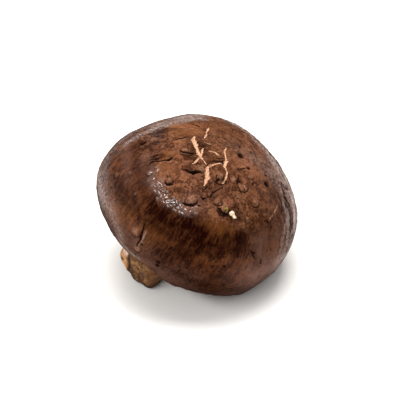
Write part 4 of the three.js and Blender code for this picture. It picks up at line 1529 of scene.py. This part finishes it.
@dataclass(frozen=True)
class CapFinish:
    """Leathery brown skin: mottled, streaked on the flank, pale in its splits, wet in broken patches, with
    painted shade, sheen and highlights.
    """

    deep: Colour = rgb(0.034, 0.0095, 0.0040)
    brown: Colour = rgb(0.178, 0.070, 0.033)
    # Pale grains on the tops of the fine sand bumps are a painted highlight; dark grains in their hollows are
    # painted shade.
    grain_highlight: Colour = rgb(0.29, 0.145, 0.085)
    grain_shade: Colour = rgb(0.020, 0.0050, 0.0022)
    flank_deep: Colour = rgb(0.018, 0.0036, 0.0010)
    flank_brown: Colour = rgb(0.120, 0.037, 0.0125)
    base: Colour = rgb(0.012, 0.0034, 0.0014)
    rose: Colour = rgb(0.255, 0.099, 0.052)
    # Colour of the painted highlight on knob tops and tear lips.
    lit: Colour = rgb(0.34, 0.17, 0.105)
    ochre: Colour = rgb(0.125, 0.040, 0.013)
    ochre_pale: Colour = rgb(0.30, 0.118, 0.052)
    olive: Colour = rgb(0.145, 0.049, 0.012)
    # Dark tone: the skin's darker patches and painted shade.
    dark_and_shade: Colour = rgb(0.0085, 0.0010, 0.0003)
    moss: Colour = rgb(0.34, 0.25, 0.03)
    # Mauve tone, partly painted reflection and haze.
    mauve_and_haze: Colour = rgb(0.175, 0.086, 0.062)
    # Colour of the painted sheen on the rims and of pale skin lines.
    sheen_and_veil: Colour = rgb(0.36, 0.28, 0.25)
    # Colour of the brightest painted reflection on the rims.
    rim_glare: Colour = rgb(0.60, 0.50, 0.45)
    flesh: Colour = rgb(0.66, 0.40, 0.255)
    flesh_shade: Colour = rgb(0.38, 0.19, 0.10)
    # Colour of the painted shade in creases, grooves, flecks, tear bottoms and holes.
    pit_shade: Colour = rgb(0.010, 0.0030, 0.0015)

    def skin(self, t: Tree, shelf: GroupShelf, place: object, fibre: object,
             broad: object) -> tuple[object, object, object, object]:
        """Mixes the skin's browns: mottled and grained on the crown, streaked down the flank.

        Args:
            t: The material's tree.
            shelf: The shared groups.
            place: Object coordinates.
            fibre: The streaks' coordinates.
            broad: The broadest blotches.

        Returns:
            The colour, the fine blotches, the coarse streaks and the fine streaks.
        """
        flank = t.attribute("flank")
        small = shelf.mottle.use(t, place, Size=1.9, Edge=0.16)
        fine = shelf.mottle.use(t, place, Size=0.7, Edge=0.12)
        hair = shelf.streaks.use(t, fibre, Width=1.5, Length=5.5)
        hair_fine = shelf.streaks.use(t, fibre, Width=0.55, Length=2.4)
        tone = t.total((small, 0.45), (fine, 0.3), (t.attribute("papilla"), 0.35), (broad, 0.15))
        crown = t.mix(t.span(tone, 0.3, 0.76), self.deep, self.brown)
        tone = t.total((hair, 0.4), (hair_fine, 0.15), (small, 0.4), (fine, 0.25), (broad, 0.3))
        side = t.mix(t.span(tone, 0.4, 1.15), self.flank_deep, self.flank_brown)
        edge = t.total((flank, 1.0), (t.maths("SUBTRACT", small, 0.5), 0.5))
        colour = t.mix(t.span(edge, 0.2, 0.8), crown, side)
        return colour, fine, hair, hair_fine

    def make(self, shelf: GroupShelf) -> Material:
        """Builds the material.

        Args:
            shelf: The shared groups.

        Returns:
            The material.
        """
        material, t, shader, place = fresh_material("cap leather")
        fibre = t.attribute("fibre", vector=True)
        broad = shelf.mottle.use(t, place, Size=5.5, Edge=0.16)
        colour, fine, hair, hair_fine = self.skin(t, shelf, place, fibre, broad)
        grain = shelf.speckle.use(t, place, Size=0.42)
        sand = t.noise(place, 0.3, 2.0, 0.5)

        colour = t.layer(colour, "low", 0.75, self.base)
        # Painted highlight: pale grains where the sand bumps stand high, fewer down the flank.
        above = t.ease(t.attribute("flank"), 1.0, 0.4)
        colour = t.mix(t.times(t.span(sand, 0.56, 0.72, 0.0, 0.6), above), colour, self.grain_highlight)
        # Mauve is partly painted reflection of the floor and painted haze by the glints.
        layers = (("mauve_and_haze", self.mauve_and_haze, t.ease(broad, 0.55, 1.0)),
                  ("rose", self.rose, t.ease(fine, 0.4, 0.9)),
                  ("olive", self.olive, t.ease(hair, 0.45, 1.0)),
                  ("ochre", t.mix(hair_fine, self.ochre, self.ochre_pale), t.ease(hair, 0.75, 1.0)),
                  # Painted highlight on the knobs' tops and the tears' lips.
                  ("lit", self.lit, t.ease(fine, 0.2, 0.6)),
                  # Dark patches of the skin and painted shade on the front flank.
                  ("dark_and_shade", self.dark_and_shade, t.ease(hair_fine, 1.2, 0.85)),
                  ("moss", self.moss, 1.0),
                  # Painted sheen on the rims and along the glints, and pale skin lines.
                  ("sheen_and_veil", self.sheen_and_veil, t.span(fine, 0.1, 0.9, 0.2, 0.88)),
                  # Brightest painted reflection on the rims.
                  ("rim_glare", self.rim_glare, t.span(fine, 0.1, 0.9, 0.6, 1.0)))
        for name, tint, strength in layers:
            colour = t.layer(colour, name, strength, tint)
        # Painted shade: dark grains where the sand bumps sink.
        colour = t.mix(t.span(sand, 0.42, 0.28, 0.0, 0.6), colour, self.grain_shade)
        # Painted shade in creases, grooves, flecks, tear bottoms and holes.
        colour = t.mix(t.span(t.attribute("pit_shade"), 0.1, 0.8, 0.0, 0.96), colour, self.pit_shade)
        thread = t.noise(place, 0.4, 3.0, 0.6)
        flesh = t.mix(t.span(thread, 0.3, 0.62), self.flesh_shade, self.flesh)
        raw = t.total((t.attribute("flesh"), 1.0), (t.maths("SUBTRACT", thread, 0.5), 0.9))
        raw = t.span(raw, 0.38, 0.62)
        raw_share = t.times(raw, t.span(t.attribute("flesh"), 0.1, 0.9, 0.2, 1.0))
        colour = t.mix(raw_share, colour, flesh)

        rough = t.total((t.ease(grain, 0.6, 0.42), 1.0), (raw, 0.2))
        height = t.total((grain, 0.6), (fine, 0.4), (sand, 0.5))
        ridges = t.times(t.attribute("flank"), t.total((hair, 0.4), (hair_fine, 0.6)))
        normal = t.bump(ridges, 0.4, 0.14, Normal=t.bump(height, 0.8, 0.13))
        wet = t.noise(place, 0.75, 3.0, 0.6)
        dry = t.span(t.attribute("pit_shade"), 0.1, 0.5, 1.0, 0.0)
        shine = t.times(t.times(t.attribute("gloss"), dry), t.span(wet, 0.43, 0.53))
        t.feed(shader, {"Base Color": colour, "Roughness": rough, "Normal": normal, "Coat Weight": shine,
                        "Specular IOR Level": 0.005, "Coat Roughness": 0.08, "Coat IOR": 1.85})
        return material


@dataclass(frozen=True)
class GillFinish:
    """Cream flesh, browner at the blades' edges."""

    cream: Colour = rgb(0.62, 0.46, 0.29)
    tan: Colour = rgb(0.36, 0.21, 0.11)

    def make(self, shelf: GroupShelf) -> Material:
        """Builds the material.

        Args:
            shelf: The shared groups.

        Returns:
            The material.
        """
        material, t, shader, place = fresh_material("gill flesh")
        blot = shelf.mottle.use(t, place, Size=2.4, Edge=0.2)
        grain = shelf.speckle.use(t, place, Size=0.25)
        edge = t.span(t.attribute("edge"), 0.55, 1.0, 0.0, 0.75)
        colour = t.mix(t.total((blot, 0.3), (edge, 1.0)), self.cream, self.tan)
        t.feed(shader, {"Base Color": colour, "Roughness": t.ease(blot, 0.65, 0.8),
                        "Normal": t.bump(grain, 0.4, 0.05), "Subsurface Weight": 0.08,
                        "Subsurface Scale": 0.6 * MM})
        return material


@dataclass(frozen=True)
class StemFinish:
    """Brown fibrous skin with painted shade in its crevices, a mottled cut end with a pale strip, and painted
    shade at its foot by the ground.
    """

    tan: Colour = rgb(0.245, 0.108, 0.041)
    brown: Colour = rgb(0.060, 0.0190, 0.0048)
    sand: Colour = rgb(0.34, 0.185, 0.072)
    pale: Colour = rgb(0.60, 0.31, 0.150)
    pale_shade: Colour = rgb(0.40, 0.19, 0.065)
    higher_pale: Colour = rgb(0.78, 0.56, 0.44)
    dark: Colour = rgb(0.018, 0.0060, 0.0018)

    def make(self, shelf: GroupShelf) -> Material:
        """Builds the material.

        Args:
            shelf: The shared groups.

        Returns:
            The material.
        """
        material, t, shader, place = fresh_material("stem fibre")
        fibre = t.attribute("fibre", vector=True)
        blot = shelf.mottle.use(t, place, Size=2.0, Edge=0.13)
        spots = shelf.mottle.use(t, place, Size=0.9, Edge=0.1)
        hair = shelf.streaks.use(t, fibre, Width=0.6, Length=4.0)
        grain = shelf.speckle.use(t, place, Size=0.35)
        skin = t.mix(t.total((blot, 0.5), (hair, 0.5)), self.brown, self.tan)
        cut = t.mix(t.total((blot, 0.6), (spots, 0.4)), self.brown, self.tan)
        cut = t.mix(t.times(t.times(blot, spots), 0.7), cut, self.sand)
        colour = t.mix(t.span(t.attribute("cut"), 0.3, 0.8), skin, cut)
        pale = t.mix(spots, self.pale_shade, self.pale)
        # The strip turns paler higher up.
        pale = t.layer(pale, "higher_pale", 0.8, self.higher_pale)
        colour = t.mix(t.attribute("strip"), colour, pale)
        # Painted shade in the crevices, groove and hollows, and the blemish.
        colour = t.layer(colour, "crevice_shade_and_blemish", 0.9, self.dark)
        # Painted shade at the foot by the ground.
        colour = t.layer(colour, "ground_shade", 0.9, self.dark)
        colour = t.mix(t.ease(grain, 0.2, 0.0), colour, self.dark)
        height = t.total((hair, 0.15), (grain, 0.5), (spots, 0.5))
        t.feed(shader, {"Base Color": colour, "Roughness": t.ease(blot, 0.7, 0.85),
                        "Normal": t.bump(height, 0.6, 0.12), "Specular IOR Level": 0.15})
        return material


@dataclass(frozen=True)
class ChipFinish:
    """Near-white flesh of the chip."""

    white: Colour = rgb(0.85, 0.74, 0.58)
    shade: Colour = rgb(0.55, 0.36, 0.2)

    def make(self, shelf: GroupShelf) -> Material:
        """Builds the material.

        Args:
            shelf: The shared groups.

        Returns:
            The material.
        """
        material, t, shader, place = fresh_material("chip flesh")
        blot = shelf.mottle.use(t, place, Size=0.7, Edge=0.15)
        t.feed(shader, {"Base Color": t.mix(blot, self.shade, self.white),
                        "Roughness": t.ease(blot, 0.7, 0.55), "Normal": t.bump(blot, 0.4, 0.08)})
        return material


@dataclass
class Studio:
    """A white floor, soft lights and the camera. Lengths are metres."""

    centre: Triple = (-0.00129, -0.00007, 0.0176)
    elevation: float = 36.0
    distance: float = 0.5
    frame_width: float = 0.11396
    aim_right: float = 0.00214
    aim_up: float = 0.0039
    sensor: float = 36.0
    floor_half: float = 3.0
    floor_tint: Triple = (0.97, 0.955, 0.925)
    floor_step: float = 0.01
    overhead_power: float = 4.3
    overhead_size: tuple[float, float] = (0.42, 0.42)
    overhead_place: Triple = (0.01, 0.1, 0.57)
    side_power: float = 1.5
    side_size: tuple[float, float] = (0.56, 0.09)
    side_direction: Triple = (-0.46, -0.56, 0.69)
    side_distance: float = 0.55
    clip: tuple[float, float] = (0.01, 20)
    world_strength: float = 0.57

    def floor(self) -> None:
        """Makes the floor, a level square with a matt finish."""
        h = self.floor_half
        mesh = bpy.data.meshes.new("floor")
        mesh.from_pydata([(-h, -h, 0), (h, -h, 0), (h, h, 0), (-h, h, 0)], [], [(0, 1, 2, 3)])
        piece = bpy.data.objects.new("floor", mesh)
        bpy.context.scene.collection.objects.link(piece)
        material, t, shader, place = fresh_material("floor paper")
        grain = t.noise(place, 8.0)
        pale = rgb(*(part + self.floor_step for part in self.floor_tint))
        t.feed(shader, {"Base Color": t.mix(grain, rgb(*self.floor_tint), pale), "Roughness": 0.9,
                        "Specular IOR Level": 0.1})
        mesh.materials.append(material)

    def softbox(self, name: str, place: Vector, size: tuple[float, float], power: float) -> None:
        """A rectangular area light turned to the mushroom.

        Args:
            name: Name of the light.
            place: Where it hangs, in metres.
            size: Its width and height, in metres.
            power: Its power, in watts.
        """
        lamp = bpy.data.lights.new(name, "AREA")
        lamp.shape, lamp.energy = "RECTANGLE", power
        lamp.size, lamp.size_y = size
        light = bpy.data.objects.new(name, lamp)
        light.location = place
        light.rotation_euler = (Vector(self.centre) - place).to_track_quat("-Z", "Y").to_euler()
        bpy.context.scene.collection.objects.link(light)

    def camera(self) -> None:
        """Makes the camera, looking along +Y and down by the elevation.

        The lens is sensor * distance / frame_width.
        """
        e = np.radians(self.elevation)
        forward, up = Vector((0, np.cos(e), -np.sin(e))), Vector((0, np.sin(e), np.cos(e)))
        lens = bpy.data.cameras.new("camera")
        lens.sensor_width = self.sensor
        lens.lens = self.sensor * self.distance / self.frame_width
        lens.clip_start, lens.clip_end = self.clip
        camera = bpy.data.objects.new("camera", lens)
        aim = Vector(self.centre) + Vector((self.aim_right, 0, 0)) + up * self.aim_up
        camera.location = aim - forward * self.distance
        camera.rotation_euler = forward.to_track_quat("-Z", "Y").to_euler()
        bpy.context.scene.collection.objects.link(camera)
        bpy.context.scene.camera = camera

    def build(self) -> None:
        """Makes floor, lights, world and camera."""
        self.floor()
        self.softbox("overhead softbox", Vector(self.overhead_place), self.overhead_size, self.overhead_power)
        side = Vector(self.centre) + Vector(self.side_direction).normalized() * self.side_distance
        self.softbox("side softbox", side, self.side_size, self.side_power)
        world = bpy.data.worlds.new("studio")
        world.use_nodes = True
        sky = {"Color": rgb(1, 1, 1), "Strength": self.world_strength}
        Tree(world.node_tree).feed(world.node_tree.nodes["Background"], sky)
        bpy.context.scene.world = world
        bpy.context.scene.view_settings.view_transform = "Standard"
        self.camera()


def dress(piece: Piece, material: Material, slot: Slot, *nodes: str) -> None:
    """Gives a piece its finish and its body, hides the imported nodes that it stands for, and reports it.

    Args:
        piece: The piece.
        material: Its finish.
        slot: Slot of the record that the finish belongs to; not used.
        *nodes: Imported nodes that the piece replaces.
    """
    piece.data.materials.append(material)
    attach(piece, BODY)
    if nodes:
        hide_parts(*nodes)
    LOG.info("%s: %d points, %d faces", piece.name, len(piece.data.vertices), len(piece.data.polygons))


def main() -> None:
    logging.basicConfig(level=logging.INFO, format="%(name)s: %(message)s")
    Studio().build()
    seat, form, shelf = Seat(), CapForm(), GroupShelf.stock()
    dress(Cap(form).build(seat), CapFinish().make(shelf), Slot.CAP, "cap")
    dress(Gills(form).build(seat), GillFinish().make(shelf), Slot.GILL, "gills")
    dress(Stem().build(seat), StemFinish().make(shelf), Slot.STEM, "stem")
    dress(Chip().build(form, seat), ChipFinish().make(shelf), Slot.GILL)


if __name__ == "__main__":
    main()
